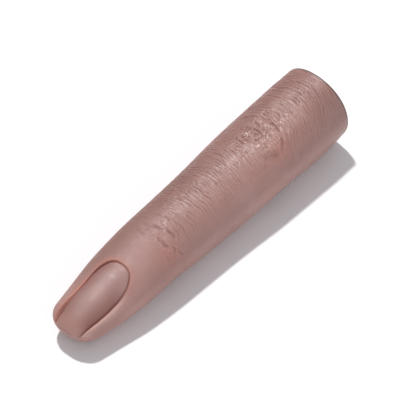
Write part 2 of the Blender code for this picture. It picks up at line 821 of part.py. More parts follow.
def fork_slot(hinge, rear):
    """The cutter for a fork's gap, from in front of the ears back to the rear plane."""
    half = slot_half(hinge)
    plan = [
        (half, hinge.y - hinge.ear_radius - OVERRUN),
        (half, rear),
        (-half, rear),
        (-half, hinge.y - hinge.ear_radius - OVERRUN),
    ]
    tall = hinge.ear_radius + OVERRUN
    return prism(f"{hinge.name}_slot", plan, hinge.z - tall, hinge.z + tall, "Z")


def tip_bone():
    """The tip bone, with its hinge hole and the holes for the nail bed's pegs."""
    side, plan = tip_bone_outlines()
    body = cut(bone("tip_bone", side, plan, 0.0, "nylon"), hinge_hole(TIP_HINGE, "tip"))
    for label, place in (("front", FRONT_PEG_AT), ("rear", REAR_PEG_AT)):
        top = paddle_top(place) + OVERRUN
        low = bed_floor(place) - PEG_LENGTH - PEG_CLEARANCE
        hole = prism(
            f"peg_hole_{label}", circle((0.0, y_of(place)), PEG_RADIUS + PEG_CLEARANCE), low, top, "Z"
        )
        cut(body, hole)
    return body


def middle_bone():
    """The middle bone, forked in front and tongued behind."""
    side, plan = middle_bone_outlines()
    body = bone("middle_bone", side, plan, 0.0, "nylon")
    slot = fork_slot(TIP_HINGE, TIP_HINGE.y + shoulder(TIP_HINGE))
    return cut(body, slot, hinge_hole(TIP_HINGE, "middle"), hinge_hole(KNUCKLE_HINGE, "middle"))


def base_bone():
    """The base bone: fork, shaft, and a round boss with a flange that holds the socket bush."""
    hinge = KNUCKLE_HINGE
    side, plan = base_bone_outlines()
    body = bone("base_bone", side, plan, 0.0, "nylon")
    boss_rear = REAR_Y - FLANGE_THICKNESS / 2
    boss = drum_along_y("base_boss", BOSS_RADIUS, hinge.y + BOSS_BEHIND_KNUCKLE, boss_rear, REAR_CENTRE_Z)
    flange = drum_along_y("base_flange", FLANGE_RADIUS, REAR_Y - FLANGE_THICKNESS, REAR_Y, REAR_CENTRE_Z)
    join(body, boss, flange)
    slot = fork_slot(hinge, hinge.y + shoulder(hinge))
    bore = drum_along_y(
        "bush_bore",
        SOCKET_RADIUS + BUSH_WALL + HOLE_CLEARANCE,
        REAR_Y - SOCKET_DEPTH,
        REAR_Y + OVERRUN,
        REAR_CENTRE_Z,
    )
    lip = drum_along_y(
        "bush_lip_seat",
        BUSH_LIP_RADIUS + HOLE_CLEARANCE,
        REAR_Y - BUSH_LIP_THICKNESS - SLIDE_GAP,
        REAR_Y + OVERRUN,
        REAR_CENTRE_Z,
    )
    return cut(body, slot, hinge_hole(hinge, "base"), bore, lip)


def socket_bush():
    """The lipped brass bush that takes a stand's peg."""
    bush = drum_along_y(
        "socket_bush", SOCKET_RADIUS + BUSH_WALL, REAR_Y - SOCKET_DEPTH + SLIDE_GAP, REAR_Y,
        REAR_CENTRE_Z, "brass"
    )
    lip = drum_along_y(
        "bush_lip", BUSH_LIP_RADIUS, REAR_Y - BUSH_LIP_THICKNESS, REAR_Y - SLIDE_GAP, REAR_CENTRE_Z
    )
    hole = drum_along_y(
        "socket_hole", SOCKET_RADIUS, REAR_Y - SOCKET_DEPTH - OVERRUN, REAR_Y + OVERRUN, REAR_CENTRE_Z
    )
    return cut(join(bush, lip), hole)


# Skin


def joint_face(hinge, side, gap):
    """A joint zone's front (-1) or rear (1) face as (y, z) points from above to below, moved by gap."""
    near = hinge.y + side * shoulder(hinge) + gap
    slope = math.tan(math.radians(hinge.bend / 2 + BEND_MARGIN))
    low = -OVERRUN
    return [(near, REAR_TOP + OVERRUN), (near, hinge.z), (near + side * slope * (hinge.z - low), low)]


def straight_face(y):
    """A plain face across the finger."""
    return [(y, REAR_TOP + OVERRUN), (y, -OVERRUN)]


def skin_segment(name, front, rear, cavities):
    """The part of the finger's form between two faces, with the bones' room cut out."""
    body = finger_form(name)
    wide = max(width for place, width in WIDTHS)
    zone = prism(f"{name}_zone", front[::-1] + rear, -wide, wide, "X")
    return cut(keep_inside(body, zone), *cavities)


def bone_rooms():
    """Cutters for the room that each bone takes up in the skin, by body."""
    rooms = {}
    for name, outlines in (
        ("tip", tip_bone_outlines()),
        ("middle", middle_bone_outlines()),
        ("base", base_bone_outlines()),
    ):
        rooms[name] = bone(f"{name}_bone_room", *outlines, SKIN_CLEARANCE, None)
    hinge_y = KNUCKLE_HINGE.y
    boss_room = drum_along_y(
        "boss_room",
        BOSS_RADIUS + SKIN_CLEARANCE,
        hinge_y + BOSS_BEHIND_KNUCKLE - SKIN_CLEARANCE,
        REAR_Y + OVERRUN,
        REAR_CENTRE_Z,
    )
    flange_room = drum_along_y(
        "flange_room",
        FLANGE_RADIUS + SKIN_CLEARANCE,
        REAR_Y - FLANGE_THICKNESS - SKIN_CLEARANCE,
        REAR_Y + OVERRUN,
        REAR_CENTRE_Z,
    )
    join(rooms["base"], boss_room, flange_room)
    return rooms


def skin():
    """The silicone skin, as its pieces from the fingertip to the base.

    It is one moulding. Each bone carries a piece of it, and two more pieces bend between them.
    """
    half_gap = SKIN_SPLIT_GAP / 2
    rooms = bone_rooms()
    tip_screw, knuckle_screw = screw_room(TIP_HINGE), screw_room(KNUCKLE_HINGE)
    fingertip = skin_segment(
        "fingertip_skin",
        straight_face(FRONT_Y - OVERRUN),
        joint_face(TIP_HINGE, -1, -half_gap),
        [rooms["tip"], bed_pocket(), nail_window()],
    )
    tip_joint = skin_segment(
        "tip_joint_skin",
        joint_face(TIP_HINGE, -1, half_gap),
        joint_face(TIP_HINGE, 1, -half_gap),
        [rooms["tip"], rooms["middle"], tip_screw],
    )
    middle = skin_segment(
        "middle_skin",
        joint_face(TIP_HINGE, 1, half_gap),
        joint_face(KNUCKLE_HINGE, -1, -half_gap),
        [rooms["middle"]],
    )
    knuckle = skin_segment(
        "knuckle_skin",
        joint_face(KNUCKLE_HINGE, -1, half_gap),
        joint_face(KNUCKLE_HINGE, 1, -half_gap),
        [rooms["middle"], rooms["base"], knuckle_screw],
    )
    base = skin_segment(
        "base_skin",
        joint_face(KNUCKLE_HINGE, 1, half_gap),
        straight_face(REAR_Y + OVERRUN),
        [rooms["base"]],
    )
    return fingertip, tip_joint, middle, knuckle, base


# Moving bodies


def pivot(hinge):
    """An empty on a hinge's axis."""
    axis = bpy.data.objects.new(f"{hinge.name}_axis", None)
    bpy.context.scene.collection.objects.link(axis)
    axis.location = (0.0, hinge.y, hinge.z)
    return axis


def hang(axis, *pieces):
    """Parents pieces to an empty that has no parent yet, and leaves them where they are."""
    for piece in pieces:
        piece.parent = axis
        piece.location -= axis.location


def main():
    """Builds the finger at rest: the base stands free, and empties on the hinges carry the moving bodies."""
    clear_scene()
    fingertip, tip_joint, middle, _, _ = skin()
    base_bone()
    socket_bush()
    hinge_hardware(KNUCKLE_HINGE)
    tip_axis, knuckle_axis = pivot(TIP_HINGE), pivot(KNUCKLE_HINGE)
    hang(tip_axis, fingertip, nail_bed(), tip_bone())
    hang(knuckle_axis, middle, tip_joint, middle_bone(), *hinge_hardware(TIP_HINGE))
    hang(knuckle_axis, tip_axis)


main()
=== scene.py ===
import json
import math

import bpy
import numpy as np
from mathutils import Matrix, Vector


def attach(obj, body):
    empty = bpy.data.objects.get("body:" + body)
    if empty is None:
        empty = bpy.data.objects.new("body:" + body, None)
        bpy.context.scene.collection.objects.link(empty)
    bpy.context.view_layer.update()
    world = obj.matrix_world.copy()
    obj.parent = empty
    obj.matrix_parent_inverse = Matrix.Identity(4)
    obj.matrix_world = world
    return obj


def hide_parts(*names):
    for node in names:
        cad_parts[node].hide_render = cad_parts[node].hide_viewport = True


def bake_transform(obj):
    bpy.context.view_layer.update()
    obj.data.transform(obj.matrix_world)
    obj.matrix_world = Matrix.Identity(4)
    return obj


# The nail practice finger, dressed. The frame is in metres, and the lengths in this script are millimetres.
# "along" runs from the fingertip to the rear, "across" is X, and "around" goes over the skin from the
# middle of the back, plus towards +X.

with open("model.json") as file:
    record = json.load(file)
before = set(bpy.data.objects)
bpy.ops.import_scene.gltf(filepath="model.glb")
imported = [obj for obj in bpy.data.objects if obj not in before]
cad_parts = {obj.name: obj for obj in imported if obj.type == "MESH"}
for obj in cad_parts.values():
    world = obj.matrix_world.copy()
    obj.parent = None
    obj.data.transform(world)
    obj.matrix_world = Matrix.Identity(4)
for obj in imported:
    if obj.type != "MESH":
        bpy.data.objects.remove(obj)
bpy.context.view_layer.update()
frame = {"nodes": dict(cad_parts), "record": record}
bpy.ops.object.select_all(action="DESELECT")

MM = 0.001
FINGER_LENGTH = 77.5
MIDDLE_AT = FINGER_LENGTH / 2
TIP_JOINT_AT = 26.2
KNUCKLE_AT = 56.7
SKIN_SEAM_AT = 42.0

# Outline of the finger: (along, value)
WIDTHS = [
    (0, 9.7), (7.5, 12.3), (17.5, 14.8), (TIP_JOINT_AT, 15.4),
    (41.45, 16.2), (KNUCKLE_AT, 17.3), (69.7, 17.4), (FINGER_LENGTH, 16.5),
]
TOPS = [
    (0, 8.0), (7.5, 9.0), (17.5, 11.4), (TIP_JOINT_AT, 13.1),
    (41.45, 13.4), (KNUCKLE_AT, 14.6), (69.7, 15.3), (FINGER_LENGTH, 16.2),
]
UNDERS = [
    (0, 2.4), (7.5, -0.4), (17.5, -0.4), (TIP_JOINT_AT, 0.9), (33.8, -0.4),
    (49.1, -0.4), (KNUCKLE_AT, 1.0), (69.7, -0.4), (FINGER_LENGTH, 0.4),
]
WIDEST_SHARES = [(0, 0.68), (7.5, 0.61), (17.5, 0.54), (TIP_JOINT_AT, 0.50), (FINGER_LENGTH, 0.50)]
SECTION_POWER = 2.12
NOSE_LEVEL = 5.2
TIP_ROUNDING = 3.9
TIP_ROUNDING_POWER = 2.5
REAR_RIM_RADIUS = 0.45
SOCKET_LEVEL = 8.1

# Nail bed, and the folds of skin beside it
BED_CROWNS = [(0, 5.95), (7.5, 8.9), (17.5, 11.22)]
BED_CREST_AT = [(0, 0.16), (5, 0.20), (9, 0.32), (14.5, 0.45), (17.5, 0.50)]
BED_LEFT_RADII = [(0, 14.0), (5, 13.0), (11, 8.0), (17.5, 8.5)]
BED_RIGHT_RADII = [(0, 5.0), (11, 5.0), (17.5, 6.8)]
BED_FRONT_AT = 0.35
BED_THICKNESS = 1.0
BED_THINNEST_SHARE = 0.03
BED_GAP = 0.10
BED_RIM_DROP = 0.12
BED_LOWERED = 0.03
BED_STEP_AT_FRONT = 0.045
OPENING_MIDDLES = [
    (-2, 0.30), (2, 0.37), (4, 0.46), (6, 0.57), (9, 0.71), (11, 0.71), (13, 0.63), (17.5, 0.50),
]
OPENING_HALVES = [
    (-2, 2.95), (0, 3.08), (2, 3.30), (4, 3.54), (6, 3.73), (9, 3.87), (11, 3.92), (14, 4.0),
]
OPENING_ROUNDS_FROM = 10.6
OPENING_ROUND_POWER = 2.8
CUTICLE_AT = 17.1
LEFT_FOLD_BREADTH = 0.38
LEFT_FOLD_POWER = 1.5
RIGHT_FOLD_BREADTH = 1.50
RIGHT_FOLD_POWER = 2.0
CUTICLE_FOLD_BREADTH = 0.22
FOLD_END_EXTRA = 0.35
FOLD_CREST = 0.06
TICK_HEIGHT = 0.045
TICK_SPACING = 0.52
GROOVE_DEPTH = 0.15
AWAY_FROM_NAIL = 9.0

# Hollow for the bones: (along, half width, lowest, highest, section power)
FRONT_HOLLOW = [
    (5.0, 0.4, 3.2, 3.7, 3), (5.6, 2.4, 2.7, 4.2, 4), (7.0, 3.5, 2.3, 4.8, 4),
    (9.5, 3.85, 2.5, 5.5, 4), (15.5, 3.85, 3.4, 6.95, 4), (18.5, 3.7, 3.9, 7.3, 4),
    (21.0, 3.9, 4.0, 9.6, 4), (22.8, 5.6, 3.6, 10.3, 3), (TIP_JOINT_AT, 5.75, 3.3, 10.6, 3),
    (29.6, 5.6, 3.6, 10.3, 3), (32.0, 3.9, 4.0, 10.0, 4), (SKIN_SEAM_AT, 3.4, 4.6, 9.9, 4),
]
REAR_HOLLOW = [
    (SKIN_SEAM_AT, 3.4, 4.6, 9.9, 4), (49.5, 3.8, 4.6, 10.6, 4), (52.4, 6.7, 3.8, 11.8, 3),
    (KNUCKLE_AT, 7.0, 3.4, 12.2, 3), (60.6, 6.8, 3.5, 12.0, 3), (62.0, 5.55, 2.5, 13.7, 2.2),
    (75.8, 5.55, 2.55, 13.65, 2), (75.85, 6.75, 1.35, 14.85, 2), (FINGER_LENGTH, 6.75, 1.35, 14.85, 2),
]
HOLLOW_STEP = 1.5
HOLLOW_END_AT = 4.95
HOLLOW_END_LEVEL = 3.45

# How fine the skin and the bed are, in rings along them and columns round or across them
SKIN_COLUMNS = 220
NOSE_RINGS = 44
FRONT_RINGS = 334
REAR_RINGS = 306
RIM_RINGS = 8
BED_ROWS = 140
BED_COLUMNS = 90
DOUBLES_WITHIN = 0.002


def curve(points, at):
    """A smooth curve through the points that never swings past them."""
    places, values = np.array(points, float).T
    slopes = np.diff(values) / np.diff(places)
    tangents = np.concatenate([slopes[:1], np.zeros(len(slopes) - 1), slopes[-1:]])
    for i in range(1, len(slopes)):
        before, after = slopes[i - 1], slopes[i]
        tangents[i] = 2 * before * after / (before + after) if before * after > 0 else 0.0
    at = np.clip(at, places[0], places[-1])
    i = np.clip(np.searchsorted(places, at, side="right") - 1, 0, len(slopes) - 1)
    gap = places[i + 1] - places[i]
    t = (at - places[i]) / gap
    lean = t * (1 - t) ** 2 * tangents[i] + t * t * (t - 1) * tangents[i + 1]
    return values[i] + (values[i + 1] - values[i]) * t * t * (3 - 2 * t) + gap * lean


def ease(low, high, at):
    """0 up to low, 1 from high on, and smooth between them. High may be the smaller one."""
    t = np.clip((at - low) / (high - low), 0, 1)
    return t * t * (3 - 2 * t)


def bump(at, middle, breadth):
    """1 in the middle, falling smoothly to 0 on both sides of it."""
    return np.exp(-(((at - middle) / breadth) ** 2))


def chance(i, j, k):
    """A fixed number from 0 to 1 for each whole-number place."""
    h = (i * 374761393 + j * 668265263 + k * 2147483647) & 0xFFFFFFFF
    h = ((h ^ (h >> 13)) * 1274126177) & 0xFFFFFFFF
    return ((h ^ (h >> 16)) & 0xFFFF) / 65535.0


def drift(p, q, seed=0):
    """A slow random swing from -1 to 1 over the plane, one bend per unit."""
    i, j = np.floor(p).astype(np.int64), np.floor(q).astype(np.int64)
    u, v = ease(0, 1, p - i), ease(0, 1, q - j)
    low = chance(i, j, seed) * (1 - u) + chance(i + 1, j, seed) * u
    high = chance(i, j + 1, seed) * (1 - u) + chance(i + 1, j + 1, seed) * u
    return 2 * (low * (1 - v) + high * v) - 1


def cells(p, q, seed=0):
    """How far each place is from the border of its random cell, in cell widths: 0 on the border."""
    i, j = np.floor(p).astype(np.int64), np.floor(q).astype(np.int64)
    nearest = np.full(np.shape(p), np.inf)
    second = nearest.copy()
    for di in (-1, 0, 1):
        for dj in (-1, 0, 1):
            x = i + di + 0.15 + 0.7 * chance(i + di, j + dj, seed)
            y = j + dj + 0.15 + 0.7 * chance(i + di, j + dj, seed + 5)
            far = np.hypot(p - x, q - y)
            second = np.minimum(second, np.maximum(nearest, far))
            nearest = np.minimum(nearest, far)
    return second - nearest


def to_path(p, q, path):
    """Distance of each place from a line through the points, and how far along the line it is, 0 to 1."""
    path = np.array(path, float)
    lengths = np.hypot(*np.diff(path, axis=0).T)
    starts = np.concatenate([[0], np.cumsum(lengths)])
    nearest, share = np.full(np.shape(p), np.inf), np.zeros(np.shape(p))
    for k, length in enumerate(lengths):
        way = (path[k + 1] - path[k]) / length
        t = np.clip((p - path[k, 0]) * way[0] + (q - path[k, 1]) * way[1], 0, length)
        far = np.hypot(p - path[k, 0] - t * way[0], q - path[k, 1] - t * way[1])
        share = np.where(far < nearest, (starts[k] + t) / starts[-1], share)
        nearest = np.minimum(nearest, far)
    return nearest, share


def rounded(path, parts=6):
    """More points along a line, so that it bends smoothly through those given."""
    path = np.array(path, float)
    ends = np.vstack([2 * path[0] - path[1], path, 2 * path[-1] - path[-2]])
    out = []
    for k in range(len(path) - 1):
        a, b, c, d = ends[k:k + 4]
        for t in np.arange(parts) / parts:
            out.append(0.5 * (2 * b + (c - a) * t + (2 * a - 5 * b + 4 * c - d) * t * t
                              + (3 * b - a - 3 * c + d) * t ** 3))
    return np.vstack([out, path[-1]])


# The finger's form

def nose_scale(along):
    """How far the section has opened at a place in the rounded end of the fingertip."""
    left = np.clip(1 - along / TIP_ROUNDING, 0, 1) ** (TIP_ROUNDING_POWER / 2)
    return np.sqrt(1 - left ** 2) ** (2 / TIP_ROUNDING_POWER)


def closed_in(height, along):
    """A height as the rounded end of the fingertip leaves it."""
    return NOSE_LEVEL + (height - NOSE_LEVEL) * nose_scale(along)


def half_width(along):
    """Half the finger's width, with the rounded end of the fingertip."""
    return curve(WIDTHS, along) / 2 * nose_scale(along)


def rim_sink(along):
    """How far the skin draws in at the rounded rim of the rear end."""
    over = np.clip(along - (FINGER_LENGTH - REAR_RIM_RADIUS), 0, REAR_RIM_RADIUS)
    return REAR_RIM_RADIUS - np.sqrt(REAR_RIM_RADIUS ** 2 - over ** 2)


def oval(turn, power):
    """Across and up on an oval from -1 to 1. At power 2 it is a circle, and more makes it squarer."""
    across, up = np.cos(turn), np.sin(turn)
    return np.sign(across) * np.abs(across) ** (2 / power), np.sign(up) * np.abs(up) ** (2 / power)


def form(along, turn):
    """The smooth surface: across and height, at a place along the finger and a turn round it from +X."""
    half, top, under = curve(WIDTHS, along) / 2, curve(TOPS, along), curve(UNDERS, along)
    widest = top * curve(WIDEST_SHARES, along)
    sink = rim_sink(along)
    side, up = oval(turn, SECTION_POWER)
    across = side * (half - sink)
    height = widest + up * (np.where(up > 0, top - widest, widest - under) - sink)
    return across * nose_scale(along), np.maximum(closed_in(height, along), 0)


def opening_middle(along):
    """Where the middle of the nail bed is, across the finger."""
    return curve(OPENING_MIDDLES, along)


def opening_half(along):
    """Half the width of the nail bed at a place along the finger."""
    back = np.clip((along - OPENING_ROUNDS_FROM) / (CUTICLE_AT - OPENING_ROUNDS_FROM), 0, 1)
    return curve(OPENING_HALVES, along) * (1 - back ** OPENING_ROUND_POWER) ** (1 / OPENING_ROUND_POWER)


def nail_outline():
    """The nail bed's edge in plan, as (across, along), from its left front round the cuticle."""
    straight = np.linspace(-2, OPENING_ROUNDS_FROM, 30)
    bend = np.sin(np.linspace(0, np.pi / 2, 70)[1:]) ** (2 / OPENING_ROUND_POWER)
    along = np.concatenate([straight, OPENING_ROUNDS_FROM + (CUTICLE_AT - OPENING_ROUNDS_FROM) * bend])
    middle, half = opening_middle(along), opening_half(along)
    left = np.stack([middle - half, along], axis=1)
    right = np.stack([middle + half, along], axis=1)[::-1][1:]
    return np.vstack([left, right])


def from_nail_edge(across, along, outline):
    """Distance from the nail bed's edge: plus outside it, minus on the bed."""
    far, _ = to_path(across, along, outline)
    inside = (along < CUTICLE_AT) & (np.abs(across - opening_middle(along)) < opening_half(along))
    return np.where(inside, -far, far)


def bed_height(across, along):
    """The top of the nail bed: a crown along it and an arch across it."""
    from_crest = across - curve(BED_CREST_AT, along)
    radius = np.where(from_crest < 0, curve(BED_LEFT_RADII, along), curve(BED_RIGHT_RADII, along))
    x = np.clip(np.abs(from_crest), 0, radius * 0.98)
    return curve(BED_CROWNS, along) - radius + np.sqrt(radius ** 2 - x ** 2)


# Relief of the skin

# Creases drawn one by one: their points as (along, around), then depth and breadth
TIP_JOINT_CREASES = [
    ([(25.3, -3.1), (24.9, -1.7), (24.8, -0.8), (24.7, 0.0)], 0.09, 0.24),
    ([(26.6, -3.3), (27.1, -2.5), (27.3, -1.6), (27.6, -0.8), (27.8, 0.1), (28.0, 0.9), (27.7, 1.6)],
     0.13, 0.26),
    ([(25.7, -1.0), (26.2, -0.5), (26.5, 0.0)], 0.10, 0.16),
    ([(25.9, 0.2), (25.7, 0.9), (25.8, 1.6)], 0.09, 0.18),
    ([(26.2, 1.8), (26.0, 2.8), (26.1, 3.6), (25.9, 4.4), (26.0, 5.0), (25.7, 5.5)], 0.16, 0.25),
    ([(26.9, 5.3), (27.1, 6.0), (27.1, 6.6), (26.8, 6.9), (26.3, 7.0)], 0.13, 0.15),
    ([(27.7, 7.0), (27.8, 7.8), (28.2, 8.5)], 0.12, 0.18),
    ([(24.9, 6.2), (24.7, 7.0), (25.1, 7.8)], 0.07, 0.18),
    ([(28.9, 2.0), (28.6, 2.9), (28.8, 3.7), (28.7, 4.5), (28.4, 5.2)], 0.15, 0.19),
    ([(28.0, 1.1), (28.1, 2.0)], 0.12, 0.12),
    ([(30.7, -0.9), (31.0, -0.1), (31.0, 0.6), (30.7, 1.4)], 0.09, 0.14),
    ([(31.7, 0.8), (31.7, 2.1), (31.4, 2.9), (31.5, 3.7), (31.4, 4.8), (31.1, 5.5)], 0.10, 0.15),
    ([(31.5, 4.7), (31.0, 5.7), (30.9, 6.9), (30.8, 7.5)], 0.06, 0.16),
    ([(32.3, -2.3), (32.8, -1.6), (33.2, -0.9)], 0.06, 0.16),
    ([(30.1, -2.8), (30.5, -1.7), (30.6, -0.6)], 0.07, 0.16),
    ([(29.7, 1.7), (29.9, 2.9), (29.9, 4.2), (29.6, 5.4)], 0.05, 0.15),
    ([(27.3, -5.6), (28.2, -4.2), (28.9, -2.9)], 0.07, 0.18),
]
KNUCKLE_CREASES = [
    ([(60.8, -6.4), (61.4, -5.2), (61.8, -4.1), (62.1, -3.2), (62.3, -2.1), (62.4, -1.0)], 0.17, 0.20),
    ([(62.0, -3.6), (62.3, -2.4), (62.5, -1.1), (62.6, 0.0), (62.5, 1.1), (62.4, 2.1), (62.1, 3.2),
      (61.6, 4.3), (60.9, 5.3), (59.9, 6.4), (58.9, 7.3)], 0.32, 0.26),
    ([(61.9, -1.6), (62.0, -0.6), (61.9, 0.6)], 0.12, 0.20),
    ([(60.0, -4.0), (60.4, -3.2), (60.7, -2.4), (60.6, -1.5), (60.3, -0.6)], 0.17, 0.16),
    ([(58.9, -4.4), (59.0, -3.6), (58.9, -2.6), (59.1, -1.9), (59.2, -1.2), (59.3, -0.2), (59.2, 0.4),
      (58.8, 1.2)], 0.20, 0.20),
    ([(61.3, -0.9), (60.8, -0.2), (60.2, 0.4)], 0.15, 0.14),
    ([(54.9, -3.8), (55.1, -3.0), (55.2, -2.2), (55.1, -1.3), (55.0, -0.3), (55.0, 0.6)], 0.18, 0.16),
    ([(56.6, -2.8), (56.4, -1.8), (56.3, -1.0), (56.0, -0.1), (55.6, 0.4)], 0.14, 0.14),
    ([(57.2, 0.4), (57.4, 1.2), (57.5, 1.9), (57.4, 2.5), (57.0, 3.1)], 0.19, 0.15),
    ([(59.2, 0.7), (59.0, 1.5), (59.3, 1.9), (59.1, 2.4), (58.6, 3.1)], 0.17, 0.14),
    ([(57.4, 1.3), (58.3, 1.4), (59.0, 1.5)], 0.12, 0.12),
    ([(59.7, 1.5), (60.5, 1.6), (61.3, 1.5), (61.9, 1.4)], 0.13, 0.13),
    ([(59.2, 1.9), (60.0, 1.8)], 0.10, 0.11),
    ([(60.6, 1.9), (59.8, 2.7), (59.8, 3.3)], 0.09, 0.12),
    ([(54.5, 0.4), (54.1, 1.0), (53.9, 1.5), (53.7, 2.1)], 0.09, 0.12),
    ([(63.2, -2.8), (63.4, -2.0), (63.0, -1.3)], 0.14, 0.12),
    ([(63.8, -3.9), (64.2, -2.7), (64.2, -1.8), (64.0, -0.7)], 0.12, 0.13),
    ([(62.8, 1.8), (63.1, 2.5), (63.3, 3.0)], 0.12, 0.11),
    ([(63.9, 0.9), (64.3, 1.7), (64.2, 2.7), (63.8, 3.8), (63.2, 4.8)], 0.13, 0.15),
    ([(57.4, 2.9), (57.5, 4.0), (57.3, 4.8), (57.2, 5.6), (57.0, 6.8)], 0.10, 0.24),
    ([(53.3, -4.4), (53.6, -3.2), (53.5, -2.0)], 0.07, 0.14),
    ([(57.6, -4.6), (57.9, -3.5), (57.8, -2.6)], 0.10, 0.14),
    ([(62.4, -5.6), (63.0, -4.6), (63.3, -3.8)], 0.11, 0.14),
]

# Pebbles, and pits where the height is minus: along, around, length, breadth, height and gloss
KNUCKLE_SPOTS = [
    (52.5, -0.6, 0.3, 0.3, 0.1, 0.9), (53.1, -0.8, 0.28, 0.34, 0.1, 0.8),
    (53.9, -0.6, 0.32, 0.3, 0.11, 0.9), (54.4, -1.0, 0.22, 0.25, 0.09, 0.7),
    (55.5, -0.6, 0.3, 0.4, 0.12, 0.8), (56.9, -1.6, 0.34, 0.3, 0.15, 1.0),
    (57.6, -1.7, 0.34, 0.36, 0.12, 0.9), (63.7, -1.8, 0.24, 0.65, 0.12, 1.0),
    (63.4, 0.0, 0.28, 0.3, 0.1, 0.7), (63.5, 1.7, 0.34, 0.45, 0.13, 1.0),
    (64.8, -1.2, 0.2, 0.4, 0.08, 0.6), (55.8, -2.2, 0.36, 0.5, 0.1, 0.4),
    (55.7, 0.1, 0.36, 0.42, 0.1, 0.3), (56.6, 2.5, 0.62, 0.66, 0.16, 0.35),
    (58.2, 0.9, 0.42, 0.4, 0.12, 0.2), (58.2, 2.5, 0.5, 0.5, 0.13, 0.3),
    (58.3, 1.7, 0.3, 0.26, 0.08, 0.2), (59.8, 1.1, 0.42, 0.4, 0.12, 0.2),
    (59.2, 2.9, 0.45, 0.5, 0.12, 0.3), (60.7, 0.8, 0.5, 0.45, 0.12, 0.2),
    (61.0, 2.7, 0.7, 0.8, 0.12, 0.2), (61.2, -1.7, 0.32, 0.8, 0.11, 0.3),
    (59.9, -1.7, 0.3, 0.75, 0.1, 0.4), (58.2, -1.1, 0.7, 0.8, 0.11, 0.2),
    (60.2, -3.2, 0.3, 0.6, 0.08, 0.3), (62.6, 3.1, 0.35, 0.8, 0.08, 0.3),
    (65.6, -2.2, 0.28, 0.8, 0.06, 0.4), (56.3, 5.3, 0.8, 0.9, -0.15, 0),
    (58.0, 6.0, 0.75, 0.9, -0.16, 0), (55.2, 4.4, 0.5, 0.6, -0.07, 0), (54.6, 6.4, 0.35, 0.4, -0.06, 0),
    (55.2, 5.6, 0.3, 0.4, -0.05, 0), (57.1, -0.6, 0.24, 0.22, -0.12, 0),
    (56.7, 1.4, 0.22, 0.22, -0.12, 0), (57.4, 0.8, 0.22, 0.26, -0.1, 0),
    (56.4, 7.4, 0.35, 0.25, 0.06, 0), (57.2, 8.0, 0.3, 0.25, 0.06, 0),
]
TIP_JOINT_SPOTS = [
    (26.6, -0.8, 0.5, 0.26, 0.1, 0.5), (26.9, 1.2, 0.45, 0.5, 0.08, 0.3),
    (28.8, 0.8, 0.36, 0.34, 0.09, 0.5), (29.1, 1.5, 0.4, 0.3, 0.09, 0.6),
    (31.3, 0.1, 0.26, 0.26, 0.08, 0.6), (30.2, 0.9, 0.35, 0.36, 0.07, 0.4),
    (25.8, 5.8, 0.34, 0.26, 0.07, 0.1), (26.3, 6.2, 0.34, 0.26, 0.06, 0.1),
    (28.3, 2.4, 0.26, 0.6, 0.06, 0.3), (29.6, -0.6, 0.34, 0.4, 0.06, 0.3),
    (32.3, 0.9, 0.3, 0.5, 0.05, 0.4), (33.2, 1.6, 0.3, 0.4, 0.05, 0.4),
]

# Fine lines across the back: (along, value), the bends as a share of the square of around
LINE_SPACINGS = [
    (15, 0.66), (30, 0.74), (38, 0.80), (46, 0.68), (55, 0.62), (62, 0.68), (FINGER_LENGTH, 0.72),
]
LINE_STRENGTHS = [
    (18.5, 0.1), (21.0, 0.25), (26.0, 0.45), (31.0, 0.80), (38.0, 1.1), (47.0, 1.25), (53.0, 1.1),
    (58.0, 0.8), (63.0, 1.5), (72.0, 1.6), (76.0, 1.2), (FINGER_LENGTH, 0.5),
]
LEFT_BENDS = [
    (18, 0.0), (30, 0.03), (40, 0.045), (49, 0.02), (57, 0.03), (63, 0.07), (70, 0.04),
    (FINGER_LENGTH, 0.0),
]
RIGHT_BENDS = [
    (18, 0.0), (30, 0.02), (50, 0.025), (58, 0.05), (63, 0.085), (71, 0.085), (FINGER_LENGTH, 0.05),
]
LINE_DEPTH = 0.15

# Creases of the palm side: along, depth, breadth, and how much of the wave each swings with
PALM_CREASES = [
    (TIP_JOINT_AT, 0.75, 0.42, 1.0),
    (TIP_JOINT_AT + 1.6, 0.18, 0.25, -1.0),
    (KNUCKLE_AT - 1.1, 0.85, 0.45, 1.0),
    (KNUCKLE_AT + 1.4, 0.60, 0.40, -0.8),
    (73.0, 0.16, 0.40, -1.0),
    (41.0, 0.10, 0.35, 2.0),
]


